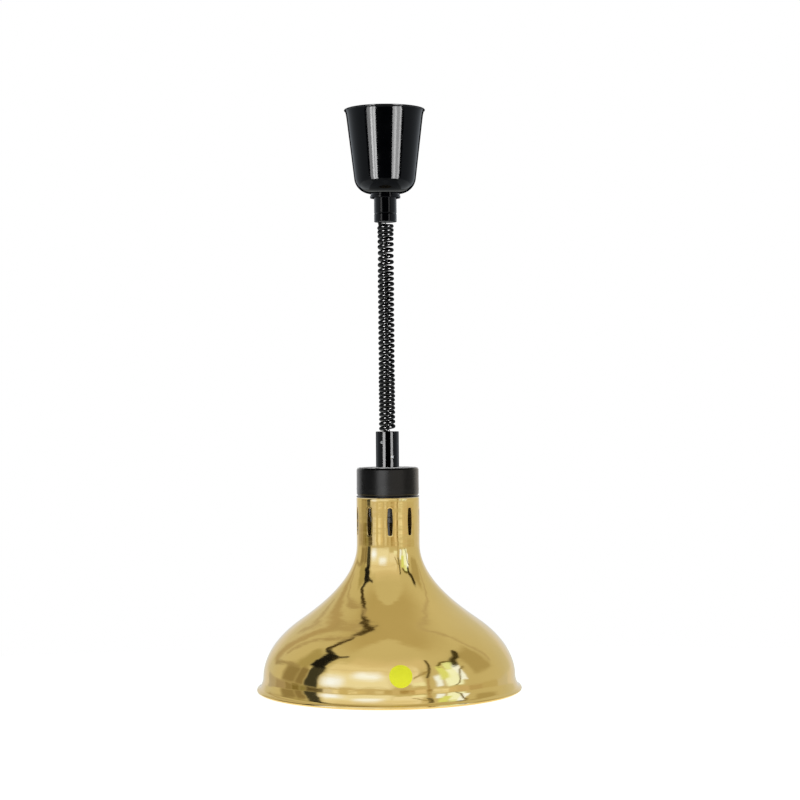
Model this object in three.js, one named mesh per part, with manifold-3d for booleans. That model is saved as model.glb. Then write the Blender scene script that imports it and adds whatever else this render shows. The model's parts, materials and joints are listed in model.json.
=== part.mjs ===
// Rise-and-fall heat lamp, hung from a ceiling: a gloss-black ceiling cup hides a spring balancer, whose
// steel cable runs down the middle of a curly power cord and carries a black cap, a screw lampholder,
// an infrared reflector bulb and a gold spun shade.
//
// Millimetres, +Z up. The origin is the middle of the top face of the ceiling plate, and the lamp hangs below.
// The front of the lamp is -Y. Every z in this file is negative or zero.
import * as THREE from "three";
import { mergeVertices } from "three/addons/utils/BufferGeometryUtils.js";
import Module from "manifold-3d";

const wasm = await Module();
wasm.setup();

// ---------------------------------------------------------------- driving dimensions

const GAP = 0.3; // between pieces that touch
const FRONT = -Math.PI / 2; // the direction of -Y, as an angle about Z

// Ceiling plate and retractor frame
const PLATE_R = 39;
const PLATE_T = 2;
const SCREW_HOLE_Y = 31; // half the distance between the two ceiling screws
const CEILING_HOLE_R = 2.4;
const SIDE_Y = 14; // inner faces of the retractor's side plates
const SIDE_T = 1.2;
const FOOT_Y = 24; // outer edges of the side plates' feet
const BASE_Z = -84.5; // top of the retractor base
const BASE_T = 2;
const BASE_R = 25.5;
const CLEARANCE_HOLE_R = 1.8; // for an M3 screw

// Cable drum
const DRUM_X = 16; // the drum stands off to one side, so its cable hangs on the lamp's axis
const DRUM_Z = -27;
const CABLE_R = 0.75;
const DRUM_HALF = 12.5; // half its width over the flanges
const FLANGE_T = 1.5;
const FLANGE_R = 18.6;
const BARREL_R = 14.2;
const BARREL_BORE_R = 13.2;
const AXLE_R = 3;

// Ceiling cup and its collar
const CUP_WALL = 1.3;
const CUP_RIM_R = 44.4;
const CUP_BOTTOM_Z = -92.2;
const CUP_CORNER_R = 18;
const CUP_CORNER_X = 15.9;
const CUP_SLOPE = 0.12; // radius lost for each millimetre down
const SPIGOT_R = 9.8;
const SPIGOT_BORE_R = 7.2;
const SPIGOT_END_Z = -105;
const COLLAR_TOP_Z = CUP_BOTTOM_Z - GAP;
const COLLAR_END_Z = -123.5;
const COLLAR_R = 12.3;
const COLLAR_BORE_R = 10.2;
const COLLAR_FLANGE_R = 16.6;

// Curly cord
const CORD_R = 2.3;
const COIL_R = 9;
const COIL_BORE_R = 4.4;
const COIL_TOP_Z = COLLAR_END_Z - 0.4;
const COIL_END_Z = -353.1;
const TURN_R = COIL_R - CORD_R; // middle of the cord in the coil
const SWING_Z = -119.3; // where the cable bends as the lamp swings
const CABLE_END_Z = -371;

// Sleeve under the cord
const SLEEVE_R = 12.6;
const SLEEVE_WALL = 1.5;
const SLEEVE_TOP_Z = COIL_END_Z - GAP;
const SLEEVE_END_Z = -392.5;
const NIPPLE_R = 5;
const NIPPLE_BORE_R = 3.1;
const NIPPLE_TOP_Z = -387;
const NIPPLE_END_Z = -402;

// Lamp cap
const CAP_TOP_Z = SLEEVE_END_Z - GAP;
const CAP_END_Z = -425.1;
const CAP_R = 34;
const CAP_WALL = 1.8;
const CAP_VENTS = 12;
const VENT_IN_R = 15.5;
const VENT_OUT_R = 27.5;
const PILLARS = 3;
const PILLAR_RING_R = 26;

// Shade
const SHADE_WALL = 1.2;
const SHADE_TOP_Z = CAP_END_Z - GAP;
const NECK_R = 34.4;
const NECK_END_Z = -477.3;
const SHOULDER = [100, -561.3]; // the steepest point of the bell, where it turns from hollow to round
const SHOULDER_ANGLE = THREE.MathUtils.degToRad(54.3); // of the outline there, from the vertical
const BODY_R = 138;
const BODY_END_Z = -621;
const RIM_R = 145;
const BEAD_R = 1.9;
const RIM_Z = -634.3; // middle of the rolled bead
const SLOTS = 9;
const SLOT_TOP_Z = -434.7;
const SLOT_END_Z = -465.8;
const SLOT_R = 3.05; // half the slot's width, and the radius of its round ends
const FIRST_SLOT = FRONT + THREE.MathUtils.degToRad(4);
const SHADE_SIDES = 36; // a multiple of the number of slots
const STICKER_R = 12;
const STICKER_Z = -603;
const STICKER_ANGLE = FRONT + THREE.MathUtils.degToRad(5.4);

// Lampholder and bulb
const HOLDER_TOP_Z = -399.8;
const HOLDER_END_Z = -453;
const HOLDER_R = 20.5;
const HOLDER_BORE_R = 15.2;
const SOCKET_Z = -414.5; // floor of the socket
const BULB_TOP_Z = -417.5;
const BULB_CAP_R = 13.2;
const BULB_CAP_END_Z = -443;
const BULB_NECK_R = 14.4;
const BULB_R = 62.5;
const BULB_FACE_Z = -592;
const GLASS_T = 1;
const STEM_END_Z = -498;
const FILAMENT_R = 13;
const FILAMENT_WIRE_R = 0.6;

// ---------------------------------------------------------------- materials

const material = (color, roughness, metalness) =>
  new THREE.MeshStandardMaterial({ color, roughness, metalness });

const GLOSS_BLACK = [0x0b0b0d, 0.12, 0.2];
const SATIN_BLACK = [0x1c1c1e, 0.42, 0.2];
const GOLD = [0xd8ab58, 0.1, 1];
const STEEL = [0xb4b7ba, 0.35, 1];
const BRASS = [0xc9a65a, 0.3, 1];
const CORD_BLACK = [0x111113, 0.38, 0];
const RUBBER = [0x161617, 0.7, 0];
const NYLON = [0xe6e4dc, 0.5, 0];
const CERAMIC = [0xc9c8c2, 0.45, 0];
const SPRING_STEEL = [0x5d6772, 0.3, 1];
const GLASS = [0xf3efe6, 0.18, 0];
const CLEAR_GLASS = [0xe8eeee, 0.05, 0];
const TUNGSTEN = [0x8a8c90, 0.4, 1];
const STICKER_YELLOW = [0xf0c419, 0.4, 0];
const LEAD_WHITE = [0xe9e6dd, 0.6, 0];

// ---------------------------------------------------------------- geometry helpers

const arc = (cx, cy, r, from, to, steps) =>
  Array.from({ length: steps + 1 }, (_, i) => {
    const a = THREE.MathUtils.degToRad(from + ((to - from) * i) / steps);
    return [cx + r * Math.cos(a), cy + r * Math.sin(a)];
  });

const bezier = (a, b, c, d, steps) =>
  new THREE.CubicBezierCurve(
    ...[a, b, c, d].map((p) => new THREE.Vector2(...p)),
  )
    .getPoints(steps)
    .map((p) => [p.x, p.y]);

// Turns a profile of [radius, z] points about Z. A ring's profile is closed here; one that starts and
// ends on the axis is left open.
function turned(profile, sides = 24) {
  const points = profile.map(([r, z]) => new THREE.Vector2(r, z));
  const onAxis = points[0].x === 0 && points.at(-1).x === 0;
  if (THREE.ShapeUtils.area(points) < 0) points.reverse();
  if (!onAxis) points.push(points[0].clone());
  return new THREE.LatheGeometry(points, sides).rotateX(Math.PI / 2);
}

const tube = (inner, outer, top, bottom, sides) =>
  turned(
    [
      [inner, top],
      [inner, bottom],
      [outer, bottom],
      [outer, top],
    ],
    sides,
  );

const rod = (radius, top, bottom, sides = 16) =>
  turned(
    [
      [0, top],
      [radius, top],
      [radius, bottom],
      [0, bottom],
    ],
    sides,
  );

// The same outline moved sideways by a distance; positive is to the left of its direction.
function beside(outline, distance) {
  return outline.map(([x, y], i) => {
    const [ax, ay] = outline[Math.max(i - 1, 0)];
    const [bx, by] = outline[Math.min(i + 1, outline.length - 1)];
    const length = Math.hypot(bx - ax, by - ay);
    return [
      x - (distance * (by - ay)) / length,
      y + (distance * (bx - ax)) / length,
    ];
  });
}

const box = (x0, x1, y0, y1, z0, z1) =>
  new THREE.BoxGeometry(x1 - x0, y1 - y0, z1 - z0).translate(
    (x0 + x1) / 2,
    (y0 + y1) / 2,
    (z0 + z1) / 2,
  );

// A flat outline in the XZ plane, from y0 to y1.
function plateXZ(outline, y0, y1) {
  const shape = new THREE.Shape(outline.map(([x, z]) => new THREE.Vector2(x, z)));
  return new THREE.ExtrudeGeometry(shape, { depth: y1 - y0, bevelEnabled: false })
    .rotateX(Math.PI / 2)
    .translate(0, y1, 0);
}

// A round cord along a smooth path.
function cordAlong(path, radius, sides, steps) {
  const section = new THREE.Shape(
    arc(0, 0, radius, 0, 360 - 360 / sides, sides - 1).map((p) => new THREE.Vector2(...p)),
  );
  const curve = new THREE.CatmullRomCurve3(path.map((p) => new THREE.Vector3(...p)));
  return new THREE.ExtrudeGeometry(section, { steps, bevelEnabled: false, extrudePath: curve });
}

const alongY = (geometry) => geometry.rotateX(-Math.PI / 2);

function solid(geometry) {
  const plain = geometry.clone();
  plain.deleteAttribute("normal");
  plain.deleteAttribute("uv");
  const merged = mergeVertices(plain, 1e-4);
  return new wasm.Manifold(
    new wasm.Mesh({
      numProp: 3,
      vertProperties: merged.attributes.position.array,
      triVerts: new Uint32Array(merged.index.array),
    }),
  );
}

function geometryOf(manifold) {
  const { vertProperties, triVerts } = manifold.getMesh();
  const geometry = new THREE.BufferGeometry()
    .setAttribute("position", new THREE.BufferAttribute(vertProperties, 3))
    .setIndex(new THREE.BufferAttribute(triVerts, 1))
    .toNonIndexed();
  geometry.computeVertexNormals();
  return geometry;
}

const cut = (body, ...tools) =>
  geometryOf(tools.reduce((rest, tool) => rest.subtract(solid(tool)), solid(body)));

const join = (body, ...others) =>
  geometryOf(others.reduce((sum, other) => sum.add(solid(other)), solid(body)));

const lamp = new THREE.Group();

function add(name, geometry, finish, x = 0, y = 0, z = 0) {
  const mesh = new THREE.Mesh(geometry, material(...finish));
  mesh.name = name;
  mesh.position.set(x, y, z);
  lamp.add(mesh);
}

// A pan-head screw pointing up: its head's underside is at z = 0.
const screwUp = (headR, headH, shankR, length) =>
  turned(
    [
      [0, length],
      [shankR, length],
      [shankR, 0],
      [headR, 0],
      [headR * 0.8, -headH],
      [0, -headH],
    ],
    8,
  );

const m3Screw = (length) => screwUp(2.8, 1.7, 1.4, length);

// ---------------------------------------------------------------- ceiling plate and retractor frame

const FOOT_T = SIDE_T;
const FOOT_TOP_Z = -PLATE_T - GAP;
const UPPER_FEET = [
  [-6, 19],
  [24, 19],
];
const LOWER_FEET = [
  [-8, 19],
  [8, 19],
];
const WEB_LEFT = -12; // of the side plates' wide upper part
const WEB_RIGHT = 30;
const WEB_WAIST_Z = -50; // where they start to narrow
const WEB_STEM = 13; // half the width of their lower part
const WEB_STEM_Z = -72;
const BLOCK_SCREW = { x: -26, y: 8 };
const mirrored = (places) => places.flatMap(([x, y]) => [[x, -y], [x, y]]);

function ceilingPlate() {
  const holes = [
    ...[-1, 1].map((side) => [0, side * SCREW_HOLE_Y, CEILING_HOLE_R]),
    [BLOCK_SCREW.x, BLOCK_SCREW.y, CLEARANCE_HOLE_R],
    [BLOCK_SCREW.x, -BLOCK_SCREW.y, CLEARANCE_HOLE_R],
    ...mirrored(UPPER_FEET).map(([x, y]) => [x, y, CLEARANCE_HOLE_R]),
  ];
  add(
    "ceiling_plate",
    cut(
      rod(PLATE_R, 0, -PLATE_T, 30),
      ...holes.map(([x, y, r]) => rod(r, 1, -PLATE_T - 1, 8).translate(x, y, 0)),
    ),
    STEEL,
  );
}

// Each side plate is a bent C: a flat web, with a foot at the top and one at the bottom, turned outwards.
function sidePlate(name, side) {
  const webEnd = BASE_Z + GAP;
  const web = [
    [WEB_LEFT, FOOT_TOP_Z],
    [WEB_RIGHT, FOOT_TOP_Z],
    [WEB_RIGHT, WEB_WAIST_Z],
    [WEB_STEM, WEB_STEM_Z],
    [WEB_STEM, webEnd],
    [-WEB_STEM, webEnd],
    [-WEB_STEM, WEB_STEM_Z],
    [WEB_LEFT, WEB_WAIST_Z],
  ];
  const inner = side * SIDE_Y;
  const outer = side * (SIDE_Y + SIDE_T);
  const edge = side * FOOT_Y;
  const [y0, y1] = [Math.min(inner, outer), Math.max(inner, outer)];
  const [f0, f1] = [Math.min(inner, edge), Math.max(inner, edge)];
  const holeAt = (x, z, r) =>
    alongY(rod(r, SIDE_T + 1, -SIDE_T - 1, 12)).translate(x, (y0 + y1) / 2, z);
  const footHole = (x, y, z) => rod(CLEARANCE_HOLE_R, 2, -2, 8).translate(x, side * y, z);
  const plate = join(
    plateXZ(web, y0, y1),
    box(WEB_LEFT, WEB_RIGHT, f0, f1, FOOT_TOP_Z - FOOT_T, FOOT_TOP_Z),
    box(-WEB_STEM, WEB_STEM, f0, f1, webEnd, webEnd + FOOT_T),
  );
  add(
    name,
    cut(
      plate,
      holeAt(DRUM_X, DRUM_Z, AXLE_R + GAP),
      ...SPACERS.map(({ x, z }) => holeAt(x, z, SPACER_END_R + GAP)),
      ...UPPER_FEET.map(([x, y]) => footHole(x, y, FOOT_TOP_Z - FOOT_T / 2)),
      ...LOWER_FEET.map(([x, y]) => footHole(x, y, webEnd + FOOT_T / 2)),
    ),
    STEEL,
  );
}

const SPACER_R = 3;
const SPACER_END_R = 1.8;
const SPACERS = [
  { name: "frame_spacer_upper", x: -5, z: -8 },
  { name: "frame_spacer_lower", x: 8, z: -66 },
];

// A pillar between the side plates, with riveted ends through both of them.
function spacer({ name, x, z }) {
  const shoulder = SIDE_Y - GAP;
  const head = SIDE_Y + SIDE_T + GAP;
  const half = [
    [SPACER_R, 0],
    [SPACER_R, shoulder],
    [SPACER_END_R, shoulder],
    [SPACER_END_R, head],
    [SPACER_R - 0.2, head],
    [SPACER_END_R, head + 1.2],
    [0, head + 1.2],
  ];
  const whole = [...half.map(([r, y]) => [r, -y]).reverse(), ...half.slice(1)];
  add(name, alongY(turned(whole, 10)), STEEL, x, 0, z);
}

function retractorBase() {
  add(
    "retractor_base",
    cut(
      tube(SPIGOT_R + GAP, BASE_R, BASE_Z, BASE_Z - BASE_T, 24),
      ...mirrored(LOWER_FEET).map(([x, y]) =>
        rod(CLEARANCE_HOLE_R, 1, -BASE_T - 1, 8).translate(x, y, BASE_Z),
      ),
    ),
    STEEL,
  );
  mirrored(UPPER_FEET).forEach(([x, y], i) =>
    add(
      `frame_screw_${i + 1}`,
      m3Screw(FOOT_T + PLATE_T + GAP - 0.2),
      STEEL,
      x,
      y,
      FOOT_TOP_Z - FOOT_T - GAP,
    ),
  );
  mirrored(LOWER_FEET).forEach(([x, y], i) =>
    add(
      `base_screw_${i + 1}`,
      m3Screw(FOOT_T + BASE_T + 2).rotateX(Math.PI),
      STEEL,
      x,
      y,
      BASE_Z + GAP + FOOT_T + GAP,
    ),
  );
}

// ---------------------------------------------------------------- drum, spring and upper cable

const CIRCLIP_R = 5;

function drum() {
  const inner = DRUM_HALF - FLANGE_T;
  // The barrel is a cup open towards +Y, where the spring goes in.
  const barrel = [
    [AXLE_R + GAP, -DRUM_HALF],
    [FLANGE_R, -DRUM_HALF],
    [FLANGE_R, -inner],
    [BARREL_R, -inner],
    [BARREL_R, inner],
    [FLANGE_R, inner],
    [FLANGE_R, DRUM_HALF],
    [BARREL_BORE_R, DRUM_HALF],
    [BARREL_BORE_R, -inner],
    [AXLE_R + GAP, -inner],
  ];
  add("cable_drum", alongY(turned(barrel, 20)), NYLON, DRUM_X, 0, DRUM_Z);
  add(
    "drum_cover",
    alongY(tube(AXLE_R + GAP, BARREL_BORE_R + 2, SIDE_Y - GAP, DRUM_HALF + GAP, 28)),
    STEEL,
    DRUM_X,
    0,
    DRUM_Z,
  );
}

// The turns of cable on the drum, as one ribbed sleeve. The middle lane is left free, because the cable
// leaves the drum there.
function woundCable() {
  const lanes = 3;
  const pitch = 3.2;
  const firstLane = 1.4;
  const laneR = DRUM_X;
  const freeHalf = 1.2;
  const freeLaneR = DRUM_X - CABLE_R - GAP;
  const side = [];
  for (let lane = 0; lane < lanes; lane++) {
    const y = firstLane + lane * pitch;
    side.push([laneR, y], [laneR + CABLE_R, y + pitch * 0.3], [laneR + CABLE_R, y + pitch * 0.7]);
  }
  const end = firstLane + lanes * pitch;
  side.push([laneR, end]);
  const outline = [
    ...side.map(([r, y]) => [r, -y]).reverse(),
    [freeLaneR, -freeHalf],
    [freeLaneR, freeHalf],
    ...side,
    [BARREL_R + GAP, end],
    [BARREL_R + GAP, -end],
  ];
  add("wound_cable", alongY(turned(outline, 18)), STEEL, DRUM_X, 0, DRUM_Z);
}

// A spiral strip from the axle out to the barrel, which winds up as the cable is pulled out.
function mainspring() {
  const turns = 6;
  const stepsPerTurn = 12;
  const strip = 0.45;
  const first = AXLE_R + GAP;
  const last = BARREL_BORE_R - GAP - strip;
  const steps = turns * stepsPerTurn;
  const spiral = (extra) =>
    Array.from({ length: steps + 1 }, (_, i) => {
      const r = first + ((last - first) * i) / steps + extra;
      const a = (2 * Math.PI * i) / stepsPerTurn;
      return [r * Math.cos(a), r * Math.sin(a)];
    });
  const outline = [...spiral(0), ...spiral(strip).reverse()];
  const floorSide = -(DRUM_HALF - FLANGE_T) + 0.6;
  const coverSide = DRUM_HALF - 1.1;
  add("mainspring", plateXZ(outline, floorSide, coverSide), SPRING_STEEL, DRUM_X, 0, DRUM_Z);
}

function axle() {
  const half = SIDE_Y + SIDE_T + 3.6;
  const groove = SIDE_Y + SIDE_T + GAP;
  const clip = 1; // the circlips' thickness
  const clipGap = 1.6; // half the gap between a circlip's ends
  const grooveR = AXLE_R - 0.8;
  const end = [
    [AXLE_R, groove],
    [grooveR, groove],
    [grooveR, groove + clip + 0.6],
    [AXLE_R, groove + clip + 0.6],
    [AXLE_R, half],
    [0, half],
  ];
  const whole = [...end.map(([r, y]) => [r, -y]).reverse(), ...end];
  add("drum_axle", alongY(turned(whole, 16)), STEEL, DRUM_X, 0, DRUM_Z);
  for (const [name, y0] of [
    ["axle_circlip_front", -groove - clip - GAP],
    ["axle_circlip_back", groove + GAP],
  ]) {
    const ring = alongY(tube(grooveR + GAP, CIRCLIP_R, y0 + clip, y0, 20));
    const mouth = box(-clipGap, clipGap, y0 - 1, y0 + clip + 1, 0, CIRCLIP_R + 1);
    add(name, cut(ring, mouth), SPRING_STEEL, DRUM_X, 0, DRUM_Z);
  }
}

// ---------------------------------------------------------------- cup, spigot and collar

function spigot() {
  const head = 1.8;
  const headR = 12.5;
  const nutR = 14; // to the corners
  add(
    "hollow_spigot",
    turned(
      [
        [SPIGOT_BORE_R, BASE_Z + GAP + head],
        [headR, BASE_Z + GAP + head],
        [headR, BASE_Z + GAP],
        [SPIGOT_R, BASE_Z + GAP],
        [SPIGOT_R, SPIGOT_END_Z],
        [SPIGOT_BORE_R, SPIGOT_END_Z],
      ],
      20,
    ),
    STEEL,
  );
  const nutTop = BASE_Z - BASE_T - GAP;
  const nutEnd = CUP_BOTTOM_Z + CUP_WALL + GAP;
  const hexagon = new THREE.CylinderGeometry(nutR, nutR, nutTop - nutEnd, 6)
    .rotateX(Math.PI / 2)
    .translate(0, 0, (nutTop + nutEnd) / 2);
  add("spigot_locknut", cut(hexagon, rod(SPIGOT_R + GAP, nutTop + 1, nutEnd - 1, 28)), STEEL);
}

function cupOutline() {
  const tilt = Math.atan(CUP_SLOPE);
  const cornerZ = CUP_BOTTOM_Z + CUP_CORNER_R;
  const coneEnd = [
    CUP_CORNER_X + CUP_CORNER_R * Math.cos(tilt),
    cornerZ - CUP_CORNER_R * Math.sin(tilt),
  ];
  const coneAt = (z) => [coneEnd[0] + CUP_SLOPE * (z - coneEnd[1]), z];
  return [
    ...bezier([CUP_RIM_R - 0.5, -1.2], [CUP_RIM_R - 1.9, -3.4], coneAt(-8), coneAt(-14), 3),
    coneAt(-44),
    ...arc(CUP_CORNER_X, cornerZ, CUP_CORNER_R, -THREE.MathUtils.radToDeg(tilt), -90, 5),
    [SPIGOT_R + GAP, CUP_BOTTOM_Z],
  ];
}

function ceilingCup() {
  const outside = cupOutline();
  const inside = beside(outside, -CUP_WALL).reverse();
  const lip = arc(CUP_RIM_R - 0.9, -1.2, 0.9, -20, 170, 4).reverse();
  add("ceiling_cup", turned([...inside, ...lip, ...outside.slice(1)], 28), GLOSS_BLACK);
}

// The collar screws on to the spigot and holds the cup up. Its flange has two steps, its tube a fine
// groove, and its mouth a rounded edge.
function cupCollar() {
  const flangeMid = COLLAR_TOP_Z - 2.2;
  const flangeEnd = COLLAR_TOP_Z - 4.8;
  const grooveZ = COLLAR_END_Z + 9;
  add(
    "cup_collar",
    turned(
      [
        [SPIGOT_R + 0.4, COLLAR_TOP_Z],
        [COLLAR_FLANGE_R - 1.2, COLLAR_TOP_Z],
        [COLLAR_FLANGE_R - 0.6, COLLAR_TOP_Z - 0.6],
        [COLLAR_FLANGE_R - 0.6, flangeMid],
        [COLLAR_FLANGE_R, flangeMid - 0.5],
        [COLLAR_FLANGE_R, flangeEnd + 0.4],
        [COLLAR_FLANGE_R - 0.4, flangeEnd],
        [COLLAR_R, flangeEnd],
        [COLLAR_R, grooveZ + 0.8],
        [COLLAR_R - 0.5, grooveZ],
        [COLLAR_R, grooveZ - 0.8],
        [COLLAR_R, COLLAR_END_Z + 1.2],
        [COLLAR_R - 0.4, COLLAR_END_Z + 0.4],
        [COLLAR_R - 1, COLLAR_END_Z],
        [COLLAR_BORE_R + 0.3, COLLAR_END_Z],
      ],
      28,
    ),
    GLOSS_BLACK,
  );
}

// ---------------------------------------------------------------- wiring in the cup

const BLOCK = { x0: -34, x1: -18, y: 12, top: -PLATE_T - GAP, end: -20 };
const TAIL_START_X = -24;
const TAIL_X = -4.4; // the power cord's offset beside the steel cable in the spigot
const TAIL_END_Z = -116.5;
const MOUTH_TAIL_X = -5.6;

function wiring() {
  const body = box(BLOCK.x0, BLOCK.x1, -BLOCK.y, BLOCK.y, BLOCK.end, BLOCK.top);
  const wireHoles = [-6, 6].map((y) =>
    rod(1.3, 2, -7, 10).rotateY(Math.PI / 2).translate(BLOCK.x0, y, -10),
  );
  const screwHoles = [-1, 1].map((side) =>
    rod(CLEARANCE_HOLE_R, BLOCK.top + 1, BLOCK.end - 1, 12).translate(
      BLOCK_SCREW.x,
      side * BLOCK_SCREW.y,
      0,
    ),
  );
  const cordPocket = rod(CORD_R + GAP, -14, BLOCK.end - 1, 14).translate(TAIL_START_X, 0, 0);
  add("terminal_block", cut(body, ...wireHoles, ...screwHoles, cordPocket), NYLON);
  [-1, 1].forEach((side, i) =>
    add(
      `terminal_screw_${i + 1}`,
      m3Screw(-BLOCK.end + GAP - 0.2),
      STEEL,
      BLOCK_SCREW.x,
      side * BLOCK_SCREW.y,
      BLOCK.end - GAP,
    ),
  );
  const tail = [
    [TAIL_START_X, 0, -15],
    [TAIL_START_X, 0, -24],
    [-23.5, 0, -36],
    [-19, 0, -48],
    [-11, 0, -61],
    [-5.6, 0, -72],
    [TAIL_X, 0, -82],
    [TAIL_X, 0, -104.5],
    [-4.9, 0, -110.5],
    [MOUTH_TAIL_X, 0, TAIL_END_Z],
  ];
  add("cord_tail_upper", cordAlong(tail, CORD_R, 8, 20), CORD_BLACK);
  add("steel_cable_upper", rod(CABLE_R, DRUM_Z, SWING_Z + 0.8, 10), STEEL);
}

// ---------------------------------------------------------------- the cord between cup and sleeve

function hangingCord() {
  const bushR = 8.8;
  const bush = tube(CABLE_R + 0.6, bushR, SWING_Z + 0.5, COIL_TOP_Z + 1, 28);
  add(
    "exit_grommet",
    cut(bush, rod(CORD_R + GAP, SWING_Z + 2, COIL_TOP_Z, 14).translate(MOUTH_TAIL_X, 0, 0)),
    RUBBER,
  );
  add("curly_cord", tube(COIL_BORE_R, COIL_R, COIL_TOP_Z, COIL_END_Z, 24), CORD_BLACK);
  add("steel_cable", rod(CABLE_R, SWING_Z - GAP, CABLE_END_Z, 10), STEEL);
}

// ---------------------------------------------------------------- sleeve

const PLUG_TOP_Z = -376;
const PLUG_END_Z = SLEEVE_END_Z + 1;
const GRUBS = [
  { name: "cord_grub_screw", angle: -29, z: -365.2 },
  { name: "plug_grub_screw", angle: 26, z: -381 },
];
const GRUB_R = 1.5;

const radialRod = (radius, from, to, angle, z, sides = 12) =>
  rod(radius, to, from, sides)
    .rotateY(Math.PI / 2)
    .rotateZ(FRONT + THREE.MathUtils.degToRad(angle))
    .translate(0, 0, z);

function sleeve() {
  const roof = 2.4;
  const bore = SLEEVE_R - SLEEVE_WALL;
  const cableHole = CABLE_R + 0.5;
  const can = turned(
    [
      [cableHole, SLEEVE_TOP_Z],
      [SLEEVE_R - 0.4, SLEEVE_TOP_Z],
      [SLEEVE_R, SLEEVE_TOP_Z - 0.4],
      [SLEEVE_R, SLEEVE_END_Z],
      [bore, SLEEVE_END_Z],
      [bore, SLEEVE_TOP_Z - roof],
      [cableHole, SLEEVE_TOP_Z - roof],
    ],
    24,
  );
  const cordHole = rod(CORD_R + 0.4, SLEEVE_TOP_Z + 1, SLEEVE_TOP_Z - roof - 1, 14);
  cordHole.translate(0, TURN_R, 0);
  const grubHoles = GRUBS.map(({ angle, z }) =>
    radialRod(GRUB_R + GAP, bore - 2, SLEEVE_R + 2, angle, z),
  );
  add("lower_sleeve", cut(can, cordHole, ...grubHoles), GLOSS_BLACK);
  add("sleeve_plug", tube(NIPPLE_R + GAP, bore - GAP, PLUG_TOP_Z, PLUG_END_Z, 28), BRASS);
  GRUBS.forEach(({ name, angle, z }) =>
    add(name, radialRod(GRUB_R, bore + 0.05, SLEEVE_R - 0.15, angle, z), STEEL),
  );
  const washerTop = SLEEVE_TOP_Z - roof - GAP;
  const washerEnd = washerTop - 1;
  const ferruleEnd = CABLE_END_Z + 2.4;
  add("swivel_washer", tube(CABLE_R + GAP, 3.2, washerTop, washerEnd, 16), BRASS);
  add("cable_ferrule", tube(CABLE_R + GAP, 2.6, washerEnd - GAP, ferruleEnd, 16), BRASS);
  const tail = [
    [0, TURN_R, SLEEVE_TOP_Z - 0.1],
    [0, TURN_R, -361],
    [0, 6.3, -367],
    [0, 4.2, -373],
    [0, 1.4, -379],
    [0, 0, -386],
    [0, 0, NIPPLE_END_Z + 0.5],
  ];
  add("cord_tail_lower", cordAlong(tail, CORD_R, 8, 16), CORD_BLACK);
  add("hollow_nipple", tube(NIPPLE_BORE_R, NIPPLE_R, NIPPLE_TOP_Z, NIPPLE_END_Z, 20), STEEL);
}

// ---------------------------------------------------------------- lamp cap

function lampCap() {
  const edge = 3;
  const roof = 2;
  const nippleHole = NIPPLE_R + GAP;
  const skirtIn = CAP_R - CAP_WALL;
  const ridgeZ = CAP_END_Z + 8.9; // middle of a fine ridge round the skirt
  const lipZ = CAP_END_Z + 1.3; // top of the lip, which a shadow groove sets off
  const shell = turned(
    [
      [nippleHole, CAP_TOP_Z],
      ...arc(CAP_R - edge, CAP_TOP_Z - edge, edge, 90, 0, 4),
      [CAP_R, ridgeZ + 1.4],
      [CAP_R + 0.15, ridgeZ],
      [CAP_R, ridgeZ - 1.4],
      [CAP_R, lipZ + 2.4],
      [CAP_R - 0.8, lipZ + 1.8],
      [CAP_R - 0.8, lipZ + 0.6],
      [CAP_R + 0.4, lipZ],
      [CAP_R + 0.4, CAP_END_Z],
      [skirtIn, CAP_END_Z],
      [skirtIn, CAP_TOP_Z - roof - 2],
      [skirtIn - 2, CAP_TOP_Z - roof],
      [nippleHole, CAP_TOP_Z - roof],
    ],
    30,
  );
  const pillarAngles = Array.from(
    { length: PILLARS },
    (_, i) => FRONT + ((i + 0.5) * 2 * Math.PI) / PILLARS,
  );
  const at = (geometry, angle) =>
    geometry.translate(PILLAR_RING_R * Math.cos(angle), PILLAR_RING_R * Math.sin(angle), 0);
  const pillarR = 4;
  const threadR = 2.1;
  const threadEnd = CAP_END_Z + 12;
  const pillars = pillarAngles.map((a) => at(rod(pillarR, CAP_TOP_Z - 1, CAP_END_Z, 16), a));
  const threads = pillarAngles.map((a) => at(rod(threadR, threadEnd, CAP_END_Z - 1, 12), a));
  // Radial vent slots; the ones over the pillars are left out.
  const vents = Array.from({ length: CAP_VENTS }, (_, i) => FRONT + (i * 2 * Math.PI) / CAP_VENTS)
    .filter((a) => pillarAngles.every((p) => Math.abs(Math.sin((a - p) / 2)) > 0.15))
    .map((a) => box(VENT_IN_R, VENT_OUT_R, -2, 2, CAP_TOP_Z - 3.5, CAP_TOP_Z + 1).rotateZ(a));
  add("lamp_cap", cut(join(shell, ...pillars), ...threads, ...vents), SATIN_BLACK);

  const nutTop = CAP_TOP_Z - roof - GAP;
  const nutEnd = HOLDER_TOP_Z + GAP;
  const nutR = 9.2;
  const hexagon = new THREE.CylinderGeometry(nutR, nutR, nutTop - nutEnd, 6)
    .rotateX(Math.PI / 2)
    .translate(0, 0, (nutTop + nutEnd) / 2);
  add("nipple_nut", cut(hexagon, rod(NIPPLE_R + GAP, nutTop + 1, nutEnd - 1, 20)), BRASS);

  pillarAngles.forEach((a, i) =>
    add(
      `shade_screw_${i + 1}`,
      screwUp(3.5, 2.2, 1.8, 10),
      STEEL,
      PILLAR_RING_R * Math.cos(a),
      PILLAR_RING_R * Math.sin(a),
      SHADE_TOP_Z - SHADE_WALL - GAP,
    ),
  );
  return pillarAngles;
}

// ---------------------------------------------------------------- shade

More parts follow.
